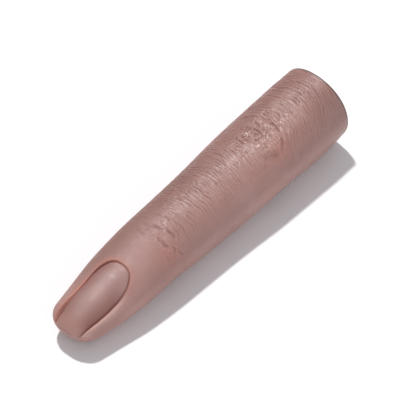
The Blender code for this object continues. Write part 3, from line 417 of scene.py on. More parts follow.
def back_lines(along, around):
    """The fine lines across the back of the finger, in rows that bend, break off and run together."""
    bends = np.where(around < 0, curve(LEFT_BENDS, along), curve(RIGHT_BENDS, along))
    bend = bends * around ** 2 / (1 + np.abs(around) / 8)
    place = along + bend + 0.60 * drift(along / 5, around / 4.5, 1)
    place += 0.26 * drift(along / 1.6, around / 1.7, 2)
    place += 0.13 * drift(along / 0.6, around / 0.7, 3)
    tilted = place + 0.13 * around + 0.3 * drift(along / 2.5, around / 2.0, 4)
    fine = np.linspace(-5, 90, 951)
    rows = np.concatenate([[0], np.cumsum(0.1 / np.interp(fine[1:], *np.array(LINE_SPACINGS).T))])
    depth = np.zeros_like(along)
    sets = [
        (place, 0.0, 0.15, 1.0, 11, 0.45),
        (place, 0.5, 0.11, 0.55, 12, 0.0),
        (tilted, 0.25, 0.12, 0.6, 13, -0.5),
    ]
    for where, shift, breadth, share, seed, least in sets:
        row = np.interp(where, fine, rows) + shift
        index = np.floor(row)
        strength = ease(-0.5, 0.5, drift(index * 3.7 + 0.5, around / 1.8 + index * 1.3, seed))
        strength = np.clip(least + (1 - least) * strength, 0, 1)
        depth = np.maximum(depth, share * strength * bump(row - index, 0.5, breadth))
    depth += 0.25 * (0.5 - 0.5 * np.cos(2 * np.pi * np.interp(place, fine, rows)))
    near_side = 0.25 + 0.25 * ease(52, 60, along)
    fade = ease(-13.0, -8.5, around) * ease(13.5, 9.0, around)
    fade = fade * (near_side + (1 - near_side) * ease(8.0, 4.0, around))
    return depth * fade * curve(LINE_STRENGTHS, along)


def drawn_creases(along, around, creases, softness):
    """The joint's own creases, each with raised skin on both sides of it."""
    depth = np.zeros_like(along)
    wander = 0.10 * drift(along / 0.9, around / 0.9, 31) + 0.05 * drift(along / 0.35, around / 0.35, 32)
    uneven = 0.80 + 0.35 * drift(along / 0.8, around / 0.8, 33)
    for points, deep, breadth in creases:
        points = np.array(points)
        low, high = points.min(0) - 1.6, points.max(0) + 1.6
        near = (along > low[0]) & (along < high[0]) & (around > low[1]) & (around < high[1])
        far, share = to_path(along[near] + wander[near], around[near] - wander[near], rounded(points))
        ends = ease(0, 0.2, share) * ease(1, 0.8, share) * uneven[near]
        soft = breadth * softness
        depth[near] += deep * ends * (bump(far, 0, soft) - 0.38 * bump(far, 2.1 * soft, 0.9 * soft))
    return depth


def raised_spots(along, around, spots):
    """Height of the pebbles and pits over the joints, and how glossy the pebbles' tops are."""
    height = np.zeros_like(along)
    gloss = np.zeros_like(along)
    bend_along = along + 0.12 * drift(along / 0.5, around / 0.5, 34)
    bend_around = around + 0.12 * drift(along / 0.5, around / 0.5, 35)
    for at, side, length, breadth, rise, shine in spots:
        near = (np.abs(along - at) < 3 * length + 0.3) & (np.abs(around - side) < 3 * breadth + 0.3)
        far = np.hypot((bend_along[near] - at) / length, (bend_around[near] - side) / breadth)
        height[near] += rise * ease(1.6, 0.2, far)
        gloss[near] = np.maximum(gloss[near], shine * ease(2.4, 1.2, far))
    return height, gloss


def joint_patch(along, around, middle, length, breadth):
    """1 in the middle of the wrinkled oval over a joint, falling to 0 outside it."""
    far = np.hypot((along - middle) / length, around / breadth)
    return ease(1.25, 0.35, far)


def back_relief(along, around):
    """Depth of the relief of the back in millimetres, plus inwards, and how glossy its raised spots are."""
    tip_patch = joint_patch(along, around - 1.2, 27.5, 4.2, 6.5)
    knuckle_patch = joint_patch(along, around - 0.2, 58.0, 6.0, 5.6)
    stretch = 0.35 * drift(along / 2.2, around / 2.2, 21)
    pebbles = bump(cells(along / 0.75 + stretch, around / 0.95 - stretch, 3), 0, 0.15)
    small = bump(cells(along / 0.46 - stretch, around / 0.58 + stretch, 4), 0, 0.2)
    patchy = ease(-0.5, 0.5, drift(along / 2.4, around / 2.0, 22))
    swell = drift(along / 1.1, around / 1.3, 23)
    knuckle = knuckle_patch * (0.16 * pebbles * (0.35 + 0.65 * patchy) + 0.07 * small + 0.10 * swell)
    tip = tip_patch * (0.035 * pebbles * patchy + 0.02 * small + 0.06 * swell)
    drawn = 1.25 * drawn_creases(along, around, TIP_JOINT_CREASES, 1.4)
    drawn += 1.15 * drawn_creases(along, around, KNUCKLE_CREASES, 1.0)
    rise, gloss = raised_spots(along, around, TIP_JOINT_SPOTS + KNUCKLE_SPOTS)
    lines = LINE_DEPTH * back_lines(along, around) * (1 - 0.4 * knuckle_patch)
    plain = (0.028 * small + 0.02 * pebbles) * ease(11, 7, np.abs(around)) * ease(19, 26, along)
    return lines + knuckle + tip + drawn - 1.3 * rise + plain, gloss


def palm_relief(along, turn, across):
    """The bending creases under the joints, in millimetres inwards."""
    under = ease(-0.45, -0.85, np.sin(turn))
    wave = 0.25 * np.sin(across * 0.45 + 0.4) + 0.12 * drift(along / 2, across / 2.5, 41)
    depth = np.zeros_like(along)
    for at, deep, breadth, swing in PALM_CREASES:
        depth += deep * bump(along + swing * wave, at, breadth)
    return depth * under


# Building the skin

def column_turns(count):
    """Turns of the skin's columns, from the middle of the palm side round and back, closer on the back."""
    fine = np.linspace(-np.pi / 2, 1.5 * np.pi, 2001)
    density = 1 + 2.0 * ease(-0.45, 0.15, np.sin(fine))
    total = np.concatenate([[0], np.cumsum((density[1:] + density[:-1]) / 2)])
    return np.interp(np.linspace(0, total[-1], count + 1), total, fine)


def toward_nail_edge(along, turn, outline):
    """Slides the grid on the back of the fingertip so that its lines lie closer along the nail folds."""
    across, _ = form(along, turn)
    half = half_width(along)
    region = (np.sin(turn) > 0.02) & (along > 0.4) & (along < CUTICLE_AT + 2.2) & (half > 0.5)
    x, s = across[region], along[region]
    far = from_nail_edge(x, s, outline)
    step = 0.02
    slope_x = (from_nail_edge(x + step, s, outline) - from_nail_edge(x - step, s, outline)) / (2 * step)
    slope_s = (from_nail_edge(x, s + step, outline) - from_nail_edge(x, s - step, outline)) / (2 * step)
    reach = 1.5
    closer = np.abs(far) * (0.30 + 0.70 * np.clip(np.abs(far) / reach, 0, 1))
    move = np.where(np.abs(far) < reach, np.sign(far) * closer - far, 0)
    move *= ease(0.99, 0.90, np.abs(x) / half[region]) * ease(0.4, 1.6, s)
    new_s = s + move * slope_s
    new_x = x + move * slope_x
    q = np.clip(new_x / half_width(new_s), -1, 1)
    new_turn = np.arccos(np.sign(q) * np.abs(q) ** (SECTION_POWER / 2))
    moved_along, moved_turn = along.copy(), turn.copy()
    moved_along[region], moved_turn[region] = new_s, new_turn
    return moved_along, moved_turn


def sink_nail_bed(along, turn, across, height, outline):
    """Lowers the back of the fingertip to the nail bed, with rounded folds beside it and a fine groove."""
    region = (np.sin(turn) > 0) & (along < CUTICLE_AT + RIGHT_FOLD_BREADTH + 1)
    x, s, z = across[region], along[region], height[region]
    far = from_nail_edge(x, s, outline)
    room = np.clip(half_width(s) - opening_half(s), 0.05, None)
    cuticle = ease(12.5, 16.3, s)
    right = ease(-1.0, 2.0, x) * (1 - cuticle)
    breadth = LEFT_FOLD_BREADTH + (RIGHT_FOLD_BREADTH - LEFT_FOLD_BREADTH) * right
    breadth = breadth + FOLD_END_EXTRA * ease(3.0, 0.5, s) * (1 - right)
    breadth = np.where(s < 11, np.minimum(breadth, 0.94 * room), breadth)
    breadth = breadth + (CUTICLE_FOLD_BREADTH - breadth) * cuticle
    inner = np.clip(1 - np.clip(far, 0, None) / breadth, 0, 1)
    share = inner ** (LEFT_FOLD_POWER + (RIGHT_FOLD_POWER - LEFT_FOLD_POWER) * right)
    held = np.clip(x, opening_middle(s) - opening_half(s), opening_middle(s) + opening_half(s))
    fall = z + (np.minimum(closed_in(bed_height(held, s), s), z) - z) * share
    place = s / TICK_SPACING + 0.3 * drift(s / 0.9, x, 51)
    ticks = TICK_HEIGHT * np.cos(2 * np.pi * place) * bump(far, 0.85, 0.35) * right
    crest = (FOLD_CREST * bump(far, 0.9, 0.4) + ticks) * ease(1.0, 4.5, s) * (1 - cuticle)
    groove = GROOVE_DEPTH * (1 - 0.9 * right) * (1 - 0.7 * ease(0, 3, x))
    groove = groove * bump(far, -0.03, 0.10) * ease(3.0, 12.0, s)
    under_bed = ease(-0.6 * BED_GAP, -1.6 * BED_GAP, far)
    floor = 0.9 * BED_THICKNESS * under_bed * ease(BED_FRONT_AT + 0.05, BED_FRONT_AT + 0.7, s)
    out = height.copy()
    out[region] = fall + crest - np.maximum(groove, floor)
    nail_far = np.full(np.shape(along), AWAY_FROM_NAIL)
    nail_far[region] = far
    return out, nail_far


def surface_normals(places):
    """Outward directions of a grid of places that closes on itself across its columns."""
    along_step = np.gradient(places, axis=0)
    ring = np.concatenate([places[:, -2:-1], places, places[:, 1:2]], axis=1)
    round_step = (ring[:, 2:] - ring[:, :-2]) / 2
    normal = np.cross(along_step, round_step)
    length = np.linalg.norm(normal, axis=2, keepdims=True)
    return normal / np.maximum(length, 1e-9)


def skin_marks(along, around, across, nail_far, relief, gloss):
    """Painted shade in creases and dark parts, painted highlights and glow, blush and gloss. 0 is nowhere.
    """
    left = ease(1.0, -1.5, across)
    # A painted glow along the nail's edge, most on the left, and round the cuticle, where light passes
    # through the thin fold.
    painted_glow = (1.1 * left + 0.25 * (1 - left)) * bump(nail_far, 0.15, 0.55) * ease(15.5, 9.0, along)
    painted_glow += (0.40 + 0.28 * left) * bump(nail_far, 0.35, 0.65) * ease(12, 15, along)
    # The blush at the joints is the silicone's own tone.
    blush = 0.5 * bump(np.hypot((along - 25.5) / 1.3, around - 6.5), 0, 2.6)
    blush += 0.65 * bump(np.hypot((along - 59.5) / 1.4, around - 5.5), 0, 2.2)
    side = across / np.maximum(curve(WIDTHS, along) / 2, 0.1)
    # Painted shade on the flanks: most on the left, some on the right, and on the right's lower edge near
    # the fingertip.
    flank_shade = 1.0 * ease(0.25, -0.75, side) * ease(2, 20, along) * (1 - 0.6 * ease(60, 68, along))
    flank_shade += 0.5 * ease(0.5, 0.98, side) * ease(10, 22, along)
    flank_shade *= 1 - 0.50 * ease(38, 52, along)
    flank_shade += 0.5 * ease(0.94, 1.0, side) * ease(14, 8, along)
    # Painted highlights: on the fold's crest right of the nail, on a stripe just left of the middle behind
    # the knuckle, and along the back right of the middle.
    pale = (1 - left) * bump(nail_far, 0.55, 0.70) * ease(0.1, 0.8, along) * ease(14, 9, along)
    pale += 0.40 * bump(around, -2.0, 1.5) * ease(58, 62, along) * ease(73, 70, along)
    middle = ease(32, 42, along) * ease(73, 67, along)
    pale += (0.24 + 0.36 * ease(48, 60, along)) * bump(around, 3.0, 2.0) * middle
    # Painted shade along the nail's edge, in its fine groove, strongest on the left.
    edge = bump(nail_far, -0.02, 0.10) * ease(0.6 + 2.4 * left, 3.0 + 7.0 * left, along)
    ridge = bump(around, 2.8, 2.4) * ease(44, 54, along)
    sheen = 0.5 * ridge * ease(77, 70, along) * (1 - 0.9 * bump(along, 55, 6))
    return {
        # Painted shade in the creases, darker where the relief sinks deeper.
        "crease_shade": np.clip(relief / 0.24, 0, 1),
        "gloss": np.maximum(gloss, sheen),
        "pale": np.clip(pale, 0, 1),
        "nail_edge_shade": (0.40 + 0.60 * left) * edge,
        "warmth": np.clip(0.8 * painted_glow + 0.6 * blush, 0, 1),
        "flank_shade": np.clip(flank_shade, 0, 1),
        # Painted shade towards the rear end, less along the back's ridge, most on the right of the end.
        "rear": ease(50, 66, along) * (1 - 0.8 * ridge) + 1.5 * ease(66, 76, along) * ease(0, 4, around),
        "matte": ease(34, 25, along),
        # Painted shade: a dark line round the rear rim.
        "rim": bump(along, FINGER_LENGTH - 0.3, 0.22),
        "bed": ease(0.05, -0.25, nail_far),
    }


def outer_skin(stations, turns):
    """Places of the skin's outer side, with its creases and nail recess, and the marks for its paint."""
    along, turn = np.meshgrid(stations, turns, indexing="ij")
    seam_wave = 0.35 * np.sin(3 * turn) + 0.2 * np.sin(7 * turn + 1)
    along = along + seam_wave * bump(along, SKIN_SEAM_AT, 1.6)
    if stations[0] < 1:
        outline = nail_outline()
        along, turn = toward_nail_edge(along, turn, outline)
        across, height = form(along, turn)
        height, nail_far = sink_nail_bed(along, turn, across, height, outline)
    else:
        across, height = form(along, turn)
        nail_far = np.full(np.shape(along), AWAY_FROM_NAIL)
    steps = np.hypot(np.diff(across, axis=1), np.diff(height, axis=1))
    reach = np.concatenate([np.zeros((len(stations), 1)), np.cumsum(steps, axis=1)], axis=1)
    crown = [np.interp(np.pi / 2, turn[k], reach[k]) for k in range(len(stations))]
    around = np.array(crown)[:, None] - reach
    relief, gloss = back_relief(along, around)
    relief *= ease(-0.35, -0.05, np.sin(turn)) * ease(0.8, 2.2, nail_far)
    relief += palm_relief(along, turn, across)
    relief *= ease(0.0, 2.5, along) * ease(FINGER_LENGTH - 0.2, FINGER_LENGTH - 1.2, along)
    places = np.stack([across, along - MIDDLE_AT, height], axis=2)
    places = places - surface_normals(places) * relief[..., None]
    places[..., 2] = np.maximum(places[..., 2], 0)
    return places, skin_marks(along, around, across, nail_far, relief, gloss)


def hollow_ring(station, turns):
    """One ring of the hollow's wall, from a row of its table."""
    along, half, low, high, power = station
    across, up = oval(turns, power)
    ring = np.zeros((len(turns), 3))
    ring[:, 0] = across * half
    ring[:, 1] = along - MIDDLE_AT
    ring[:, 2] = (low + high) / 2 + up * (high - low) / 2
    return ring


def hollow_wall(table, turns):
    """The rings of a hollow's wall from its rear to its front, with more of them where it is long."""
    stations = [table[0]]
    for before, after in zip(table, table[1:]):
        parts = max(1, round((after[0] - before[0]) / HOLLOW_STEP))
        for k in range(1, parts + 1):
            stations.append(tuple(a + (b - a) * k / parts for a, b in zip(before, after)))
    return [hollow_ring(station, turns) for station in reversed(stations)]


def front_stations():
    """Where the front skin's rings are, closer together in the rounded end of the fingertip."""
    nose = TIP_ROUNDING * (1 - np.cos(np.linspace(0, np.pi / 2, NOSE_RINGS)) ** (2 / TIP_ROUNDING_POWER))
    return np.concatenate([nose, np.linspace(TIP_ROUNDING, SKIN_SEAM_AT, FRONT_RINGS)[1:]])


def rear_stations():
    """Where the rear skin's rings are, closer together round its rim."""
    rim_from = FINGER_LENGTH - REAR_RIM_RADIUS
    rim = rim_from + REAR_RIM_RADIUS * np.sin(np.linspace(0, np.pi / 2, RIM_RINGS))
    return np.concatenate([np.linspace(SKIN_SEAM_AT, rim_from, REAR_RINGS)[:-1], rim])


def grid_piece(name, places, marks):
    """A new piece from a grid of places in millimetres, with its marks as attributes for the paint."""
    rows, columns = places.shape[:2]
    bpy.ops.mesh.primitive_grid_add(x_subdivisions=columns - 1, y_subdivisions=rows - 1, size=1)
    piece = bpy.context.object
    piece.name = name
    piece.data.name = name
    piece.data.vertices.foreach_set("co", (places * MM).astype(np.float32).ravel())
    for label, values in marks.items():
        made = piece.data.attributes.new(label, "FLOAT", "POINT")
        made.data.foreach_set("value", values.astype(np.float32).ravel())
    return piece


def merge_and_face_outwards():
    """Merges the doubles of the piece in hand and turns its faces outwards."""
    bpy.ops.object.mode_set(mode="EDIT")
    bpy.ops.mesh.select_all(action="SELECT")
    bpy.ops.mesh.remove_doubles(threshold=DOUBLES_WITHIN * MM)
    bpy.ops.mesh.normals_make_consistent(inside=False)
    bpy.ops.object.mode_set(mode="OBJECT")


def give_material(mesh, material):
    mesh.materials.clear()
    mesh.materials.append(material)


def skin_piece(name, outer, marks, wall, material):
    """A piece of skin from one grid: its outer side, then its end face and the wall of the hollow."""
    places = np.concatenate([outer, np.array(wall)], axis=0)
    plain = np.zeros((len(wall), outer.shape[1]))
    marks = {label: np.concatenate([values, plain]) for label, values in marks.items()}
    piece = grid_piece(name, places, marks)
    merge_and_face_outwards()
    bpy.ops.object.shade_smooth()
    give_material(piece.data, material)
    piece.select_set(False)
    return piece


def bridge_open_ends(piece):
    """Closes the rear skin, whose outer side and hollow both end in an open ring at the seam."""
    bpy.context.view_layer.objects.active = piece
    piece.select_set(True)
    bpy.ops.object.mode_set(mode="EDIT")
    bpy.ops.mesh.select_mode(type="EDGE")
    bpy.ops.mesh.select_all(action="DESELECT")
    bpy.ops.mesh.select_non_manifold()
    bpy.ops.mesh.bridge_edge_loops()
    bpy.ops.mesh.select_all(action="SELECT")
    bpy.ops.mesh.normals_make_consistent(inside=False)
    bpy.ops.mesh.select_mode(type="VERT")
    bpy.ops.object.mode_set(mode="OBJECT")
    piece.select_set(False)


def mark_ring_sharp(piece, ring):
    """Keeps the hidden end face of a skin piece from rounding the shading of its outer side."""
    mesh = piece.data
    places = np.zeros(len(mesh.vertices) * 3, np.float32)
    mesh.vertices.foreach_get("co", places)
    places = places.reshape(-1, 3) / MM
    on_ring = [int(np.argmin(np.abs(places - point).sum(axis=1))) for point in ring]
    ends = np.zeros(len(mesh.edges) * 2, np.int32)
    mesh.edges.foreach_get("vertices", ends)
    sharp = mesh.attributes.get("sharp_edge")
    if not sharp:
        sharp = mesh.attributes.new("sharp_edge", "BOOLEAN", "EDGE")
    sharp.data.foreach_set("value", np.isin(ends.reshape(-1, 2), on_ring).all(axis=1))


def bed_plate(material):
    """The bed: a thin arched plate whose rim follows the folds, feathered at the front."""
    back = CUTICLE_AT - BED_GAP
    stations = BED_FRONT_AT + (back - BED_FRONT_AT) * np.sin(np.linspace(0, np.pi / 2, BED_ROWS + 1))
    shares = np.sin(np.linspace(-np.pi / 2, np.pi / 2, BED_COLUMNS + 1))
    along, share = np.meshgrid(stations, shares, indexing="ij")
    stretch = (CUTICLE_AT - OPENING_ROUNDS_FROM) / (back - OPENING_ROUNDS_FROM)
    in_round_end = along > OPENING_ROUNDS_FROM
    looked = np.where(in_round_end, OPENING_ROUNDS_FROM + (along - OPENING_ROUNDS_FROM) * stretch, along)
    across = opening_middle(looked) + share * np.maximum(opening_half(looked) - BED_GAP, 0)
    far = from_nail_edge(across, along, nail_outline()) + BED_GAP
    height = closed_in(bed_height(across, along), along) - BED_LOWERED
    height -= BED_RIM_DROP * bump(far, 0, 0.14)
    height += BED_STEP_AT_FRONT * ease(BED_FRONT_AT, BED_FRONT_AT + 0.7, along)
    right = ease(-1.0, 1.5, across)
    # Painted shade on the bed: its right side, which turns from the light, its left beside the cuticle,
    # where the fold shades it, and a dark line at its rim.
    shade = 0.55 * (1 - right) * ease(CUTICLE_AT, 15.5, along) + 0.80 * right * ease(14.5, 9.5, along)
    edge = np.maximum((0.6 - 0.3 * right) * bump(far, 0, 0.09), shade * ease(-3.2, -0.1, far))
    marks = {"warmth": ease(5.5, 1.0, along), "nail_edge_shade": edge * ease(0.8, 4.0, along)}
    bed = grid_piece("satin_bed_plate", np.stack([across, along - MIDDLE_AT, height], axis=2), marks)
    thin = bed.vertex_groups.new(name="thickness")
    for index, weight in enumerate(ease(BED_FRONT_AT, BED_FRONT_AT + 2.5, along).ravel()):
        thin.add([index], float(max(weight, BED_THINNEST_SHARE)), "REPLACE")
    merge_and_face_outwards()
    faces_up = sum(face.normal.z for face in bed.data.polygons) > 0
    wall = bed.modifiers.new("plate", "SOLIDIFY")
    wall.thickness = BED_THICKNESS * MM
    wall.offset = -1 if faces_up else 1
    wall.vertex_group = thin.name
    bpy.ops.object.modifier_apply(modifier=wall.name)
    bpy.ops.object.shade_smooth_by_angle(angle=math.radians(50))
    bed.vertex_groups.clear()
    give_material(bed.data, material)
    bed.select_set(False)
    return bed


# Materials

def link(tree, out, into):
    tree.links.new(out, into)


def noise(tree, coords, scale, detail=2.0, rough=0.5):
    made = tree.nodes.new("ShaderNodeTexNoise")
    made.inputs["Scale"].default_value = scale
    made.inputs["Detail"].default_value = detail
    made.inputs["Roughness"].default_value = rough
    link(tree, coords, made.inputs["Vector"])
    return made.outputs["Fac"]


def mapped(tree, value, low, high, to_low, to_high):
    made = tree.nodes.new("ShaderNodeMapRange")
    made.interpolation_type = "SMOOTHSTEP"
    link(tree, value, made.inputs["Value"])
    made.inputs["From Min"].default_value = low
    made.inputs["From Max"].default_value = high
    made.inputs["To Min"].default_value = to_low
    made.inputs["To Max"].default_value = to_high
    return made.outputs["Result"]


def mixed(tree, share, first, second):
    made = tree.nodes.new("ShaderNodeMix")
    made.data_type = "RGBA"
    link(tree, share, made.inputs["Factor"])
    sockets = [s for s in made.inputs if s.type == "RGBA"]
    for socket, colour in zip(sockets, (first, second)):
        if isinstance(colour, tuple):
            socket.default_value = (*colour, 1)
        else:
            link(tree, colour, socket)
    return [s for s in made.outputs if s.type == "RGBA"][0]


def combined(tree, operation, first, second):
    made = tree.nodes.new("ShaderNodeMath")
    made.operation = operation
    for socket, value in zip(made.inputs, (first, second)):
        if isinstance(value, (int, float)):
            socket.default_value = value
        else:
            link(tree, value, socket)
    return made.outputs["Value"]


def attribute(tree, name):
    made = tree.nodes.new("ShaderNodeAttribute")
    made.attribute_name = name
    return made.outputs["Fac"]


def new_material(name, roughness):
    material = bpy.data.materials.new(name)
    material.use_nodes = True
    tree = material.node_tree
    shader = tree.nodes["Principled BSDF"]
    shader.inputs["Roughness"].default_value = roughness
    coords = tree.nodes.new("ShaderNodeTexCoord").outputs["Object"]
    return material, tree, shader, coords


def add_bump(tree, shader, height, strength, distance):
    made = tree.nodes.new("ShaderNodeBump")
    made.inputs["Strength"].default_value = strength
    made.inputs["Distance"].default_value = distance
    link(tree, height, made.inputs["Height"])
    link(tree, made.outputs["Normal"], shader.inputs["Normal"])


def painted(tree, colour, mark, strength, paint):
    """The colour with a paint over it where the piece carries the mark."""
    return mixed(tree, combined(tree, "MULTIPLY", attribute(tree, mark), strength), colour, paint)


def uneven_roughness(tree, shader, grain, low, high):
    """Roughness that follows a grain from low to high."""
    link(tree, mapped(tree, grain, 0.3, 0.7, low, high), shader.inputs["Roughness"])


def let_light_in(shader, weight):
    """The glow of silicone, which light passes into a little way."""
    shader.inputs["Subsurface Weight"].default_value = weight
    shader.inputs["Subsurface Radius"].default_value = (1.0, 0.42, 0.30)
    shader.inputs["Subsurface Scale"].default_value = 0.0008


def bed_colour(tree, coords, warmth):
    """The nail bed's pink, warmer towards the front. The skin takes it too in front of the bed's plate."""
    mottle = mapped(tree, noise(tree, coords, 160, 2, 0.5), 0.35, 0.65, 0, 1)
    colour = mixed(tree, mottle, (0.365, 0.212, 0.192), (0.392, 0.230, 0.208))
    return mixed(tree, warmth, colour, (0.375, 0.200, 0.172))


# Paints of the skin, from the lowest coat up: mark, strength and colour.
# The bed's pink goes on between the two lists.
SKIN_PAINTS = [
    # painted shade towards the rear end
    ("rear", 0.35, (0.295, 0.170, 0.150)),
    # painted shade on the flanks
    ("flank_shade", 0.90, (0.262, 0.137, 0.114)),
    # painted glow by the nail, and the silicone's own blush at the joints
    ("warmth", 0.80, (0.500, 0.190, 0.130)),
    # painted shade in the creases
    ("crease_shade", 0.62, (0.225, 0.102, 0.084)),
    # painted highlights
    ("pale", 0.62, (0.575, 0.385, 0.340)),
]
EDGE_PAINTS = [
    # painted shade along the nail's edge
    ("nail_edge_shade", 0.70, (0.400, 0.112, 0.070)),
    # painted shade round the rear rim
    ("rim", 0.90, (0.085, 0.048, 0.040)),
]


def silicone_material():
    """The skin's silicone: mottled pink, painted shade, highlights and glow by its marks, glossy on its
    pebbles.
    """
    material, tree, shader, coords = new_material("matte_skin_silicone", 0.5)
    mottle = mapped(tree, noise(tree, coords, 130, 3, 0.55), 0.35, 0.65, 0, 1)
    colour = mixed(tree, mottle, (0.380, 0.212, 0.187), (0.415, 0.237, 0.214))
    blush = mapped(tree, noise(tree, coords, 45, 2, 0.5), 0.45, 0.70, 0, 0.5)
    colour = mixed(tree, blush, colour, (0.400, 0.202, 0.176))
    for mark, strength, paint in SKIN_PAINTS:
        colour = painted(tree, colour, mark, strength, paint)
    front_bed = bed_colour(tree, coords, attribute(tree, "bed"))
    colour = mixed(tree, attribute(tree, "bed"), colour, front_bed)
    for mark, strength, paint in EDGE_PAINTS:
        colour = painted(tree, colour, mark, strength, paint)
    link(tree, colour, shader.inputs["Base Color"])
    rough = mapped(tree, noise(tree, coords, 700, 3, 0.6), 0.3, 0.7, 0.36, 0.50)
    rough = combined(tree, "ADD", rough, combined(tree, "MULTIPLY", attribute(tree, "matte"), 0.16))
    shine = combined(tree, "MULTIPLY", attribute(tree, "gloss"), 0.24)
    link(tree, combined(tree, "SUBTRACT", rough, shine), shader.inputs["Roughness"])
    shader.inputs["Specular IOR Level"].default_value = 0.5
    let_light_in(shader, 0.12)
    small_grain = noise(tree, coords, 2600, 3, 0.6)
    large_grain = combined(tree, "MULTIPLY", noise(tree, coords, 900, 2, 0.5), 0.8)
    add_bump(tree, shader, combined(tree, "ADD", small_grain, large_grain), 0.6, 0.00006)
    return material


def bed_material():
    """The firmer, smoother silicone of the nail bed."""
    material, tree, shader, coords = new_material("satin_nail_bed", 0.4)
    colour = bed_colour(tree, coords, attribute(tree, "warmth"))
    # Painted shade on the bed's sides and along its rim.
    colour = mixed(tree, attribute(tree, "nail_edge_shade"), colour, (0.245, 0.096, 0.078))
    link(tree, colour, shader.inputs["Base Color"])
    uneven_roughness(tree, shader, noise(tree, coords, 900, 2, 0.5), 0.43, 0.53)
    shader.inputs["Specular IOR Level"].default_value = 0.42
    let_light_in(shader, 0.10)
    add_bump(tree, shader, noise(tree, coords, 1800, 2, 0.5), 0.3, 0.00004)
    return material


def nylon_material():
    """The bones' moulded nylon, a little cloudy."""
    material, tree, shader, coords = new_material("moulded_nylon", 0.45)
    cloud = mapped(tree, noise(tree, coords, 220, 3, 0.6), 0.3, 0.7, 0, 1)
    link(tree, mixed(tree, cloud, (0.74, 0.71, 0.64), (0.82, 0.80, 0.74)), shader.inputs["Base Color"])
    uneven_roughness(tree, shader, noise(tree, coords, 1500, 2, 0.5), 0.40, 0.52)
    shader.inputs["Subsurface Weight"].default_value = 0.1
    shader.inputs["Subsurface Scale"].default_value = 0.001
    add_bump(tree, shader, noise(tree, coords, 3000, 2, 0.5), 0.2, 0.00003)
    return material


def steel_material():
    """Plain steel of the hinge screws and nuts, streaked along the hinge."""
    material, tree, shader, coords = new_material("plain_steel", 0.3)
    shader.inputs["Metallic"].default_value = 1.0
    mapping = tree.nodes.new("ShaderNodeMapping")
    mapping.inputs["Scale"].default_value = (0.4, 4, 4)
    link(tree, coords, mapping.inputs["Vector"])
    streaks = noise(tree, mapping.outputs["Vector"], 1200, 3, 0.6)
    worn = mapped(tree, streaks, 0.35, 0.65, 0, 1)
    link(tree, mixed(tree, worn, (0.50, 0.51, 0.52), (0.62, 0.63, 0.64)), shader.inputs["Base Color"])
    uneven_roughness(tree, shader, streaks, 0.26, 0.40)
    add_bump(tree, shader, streaks, 0.15, 0.00002)
    return material


def brass_material():
    """Brass turned on a lathe: fine rings round the middle of the socket."""
    material, tree, shader, coords = new_material("turned_brass", 0.3)
    shader.inputs["Metallic"].default_value = 1.0
    mapping = tree.nodes.new("ShaderNodeMapping")
    mapping.inputs["Location"].default_value = (0, 0, -SOCKET_LEVEL * MM)
    link(tree, coords, mapping.inputs["Vector"])
    rings = tree.nodes.new("ShaderNodeTexWave")
    rings.wave_type = "RINGS"
    rings.rings_direction = "Y"
    rings.inputs["Scale"].default_value = 1700
    rings.inputs["Distortion"].default_value = 0.6
    rings.inputs["Detail"].default_value = 2
    link(tree, mapping.outputs["Vector"], rings.inputs["Vector"])
    colour = mixed(tree, rings.outputs["Fac"], (0.60, 0.40, 0.15), (0.70, 0.49, 0.21))
    link(tree, colour, shader.inputs["Base Color"])
    uneven_roughness(tree, shader, noise(tree, coords, 500, 2, 0.5), 0.26, 0.36)
    add_bump(tree, shader, rings.outputs["Fac"], 0.25, 0.00002)
    return material


def fibre_material():
    """Pressed dark fibre of the hinge washers."""
    material, tree, shader, coords = new_material("pressed_washer_fibre", 0.8)
    flecks = noise(tree, coords, 2600, 4, 0.7)
    fleck = mapped(tree, flecks, 0.4, 0.62, 0, 1)
    link(tree, mixed(tree, fleck, (0.075, 0.072, 0.078), (0.16, 0.15, 0.15)), shader.inputs["Base Color"])
    uneven_roughness(tree, shader, flecks, 0.7, 0.9)
    add_bump(tree, shader, flecks, 0.4, 0.00004)
    return material


def paper_material():
    """The pale paper that the finger lies on."""
    material, tree, shader, coords = new_material("pale_paper", 0.9)
    colour = mixed(tree, noise(tree, coords, 40, 2, 0.5), (0.95, 0.95, 0.95), (0.97, 0.97, 0.97))
    link(tree, colour, shader.inputs["Base Color"])
    shader.inputs["Specular IOR Level"].default_value = 0.1
    return material


# Light and camera

KEY_FROM = (-0.372, 0.190, 0.909)
FILL_FROM = (0.95, -0.08, 0.30)
VIEW_AZIMUTH = 41.2
VIEW_ELEVATION = 49.5
VIEW_DISTANCE = 500.0
VIEW_RIGHT_BY = 3.376
VIEW_UP_BY = 5.934
PICTURE_PIXELS = 416
PIXELS_PER_MM = 4.97


def sun(name, comes_from, strength, breadth, colour):
    """A sun lamp from a direction. Its breadth in degrees softens the shadows."""
    lamp = bpy.data.objects.new(name, bpy.data.lights.new(name, "SUN"))
    bpy.context.scene.collection.objects.link(lamp)
    lamp.rotation_euler = Vector(comes_from).to_track_quat("Z", "Y").to_euler()
    lamp.data.energy = strength
    lamp.data.angle = math.radians(breadth)
    lamp.data.color = colour


def studio_sky():
    """An even studio light, a little brighter from above."""
    world = bpy.data.worlds.new("studio")
    bpy.context.scene.world = world
    world.use_nodes = True
    sky = world.node_tree
    direction = sky.nodes.new("ShaderNodeSeparateXYZ")
    link(sky, sky.nodes.new("ShaderNodeTexCoord").outputs["Generated"], direction.inputs["Vector"])
    ramp = sky.nodes.new("ShaderNodeValToRGB")
    low, high = ramp.color_ramp.elements
    low.position, high.position = 0.05, 0.55
    low.color, high.color = (0.24, 0.24, 0.25, 1), (0.41, 0.40, 0.42, 1)
    link(sky, direction.outputs["Z"], ramp.inputs["Fac"])
    link(sky, ramp.outputs["Color"], sky.nodes["Background"].inputs["Color"])


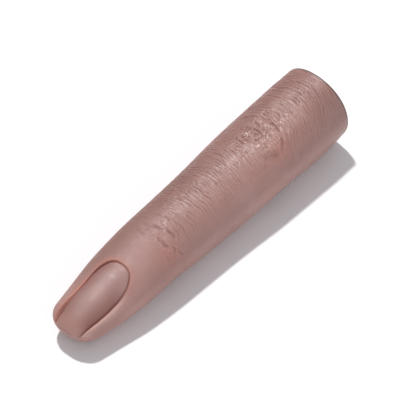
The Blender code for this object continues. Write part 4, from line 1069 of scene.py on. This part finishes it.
def photo_camera():
    """The camera that fits the photograph: it looks down on the fingertip's side, with no perspective."""
    azimuth, elevation = math.radians(VIEW_AZIMUTH), math.radians(VIEW_ELEVATION)
    right = Vector((math.cos(azimuth), math.sin(azimuth), 0))
    level = math.cos(elevation)
    back = Vector((math.sin(azimuth) * level, -math.cos(azimuth) * level, math.sin(elevation)))
    above = back.cross(right)
    lens = bpy.data.cameras.new("camera")
    lens.type = "ORTHO"
    lens.ortho_scale = PICTURE_PIXELS / PIXELS_PER_MM * MM
    lens.clip_start, lens.clip_end = 0.05, 20
    camera = bpy.data.objects.new("camera", lens)
    bpy.context.scene.collection.objects.link(camera)
    camera.location = (right * VIEW_RIGHT_BY + above * VIEW_UP_BY + back * VIEW_DISTANCE) * MM
    camera.rotation_euler = back.to_track_quat("Z", "Y").to_euler()
    return camera


# The pieces


silicone = silicone_material()
columns = column_turns(SKIN_COLUMNS)

front_outer, front_marks = outer_skin(front_stations(), columns)
front_wall = hollow_wall(FRONT_HOLLOW, columns)
front_wall.append(np.tile([0.0, HOLLOW_END_AT - MIDDLE_AT, HOLLOW_END_LEVEL], (len(columns), 1)))
front_skin = skin_piece("finger_skin_front", front_outer, front_marks, front_wall, silicone)
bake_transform(front_skin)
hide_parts("fingertip_skin", "tip_joint_skin", "middle_skin")

rear_outer, rear_marks = outer_skin(rear_stations(), columns)
rear_wall = hollow_wall(REAR_HOLLOW, columns)
rear_skin = skin_piece("finger_skin_rear", rear_outer, rear_marks, rear_wall, silicone)
bridge_open_ends(rear_skin)
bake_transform(rear_skin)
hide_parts("knuckle_skin", "base_skin")

seam = front_outer[-1]
mark_ring_sharp(front_skin, seam)
mark_ring_sharp(rear_skin, seam)

bed = bed_plate(bed_material())
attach(bed, "tip")
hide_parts("nail_bed")

finishes = {
    "nylon": nylon_material(),
    "steel": steel_material(),
    "brass": brass_material(),
    "washer_fibre": fibre_material(),
}
for part in frame["record"]["subparts"]:
    if part["material_slot"] in finishes:
        give_material(frame["nodes"][part["node"]].data, finishes[part["material_slot"]])

bpy.ops.mesh.primitive_plane_add(size=6)
floor = bpy.context.object
floor.name = "pale_floor"
floor.data.materials.append(paper_material())
floor.select_set(False)

sun("key_light", KEY_FROM, 2.36, 4.5, (1.0, 1.0, 1.0))
sun("fill_light", FILL_FROM, 0.85, 50, (0.94, 0.97, 1.0))
studio_sky()
bpy.context.scene.view_settings.view_transform = "Standard"
bpy.context.scene.camera = photo_camera()
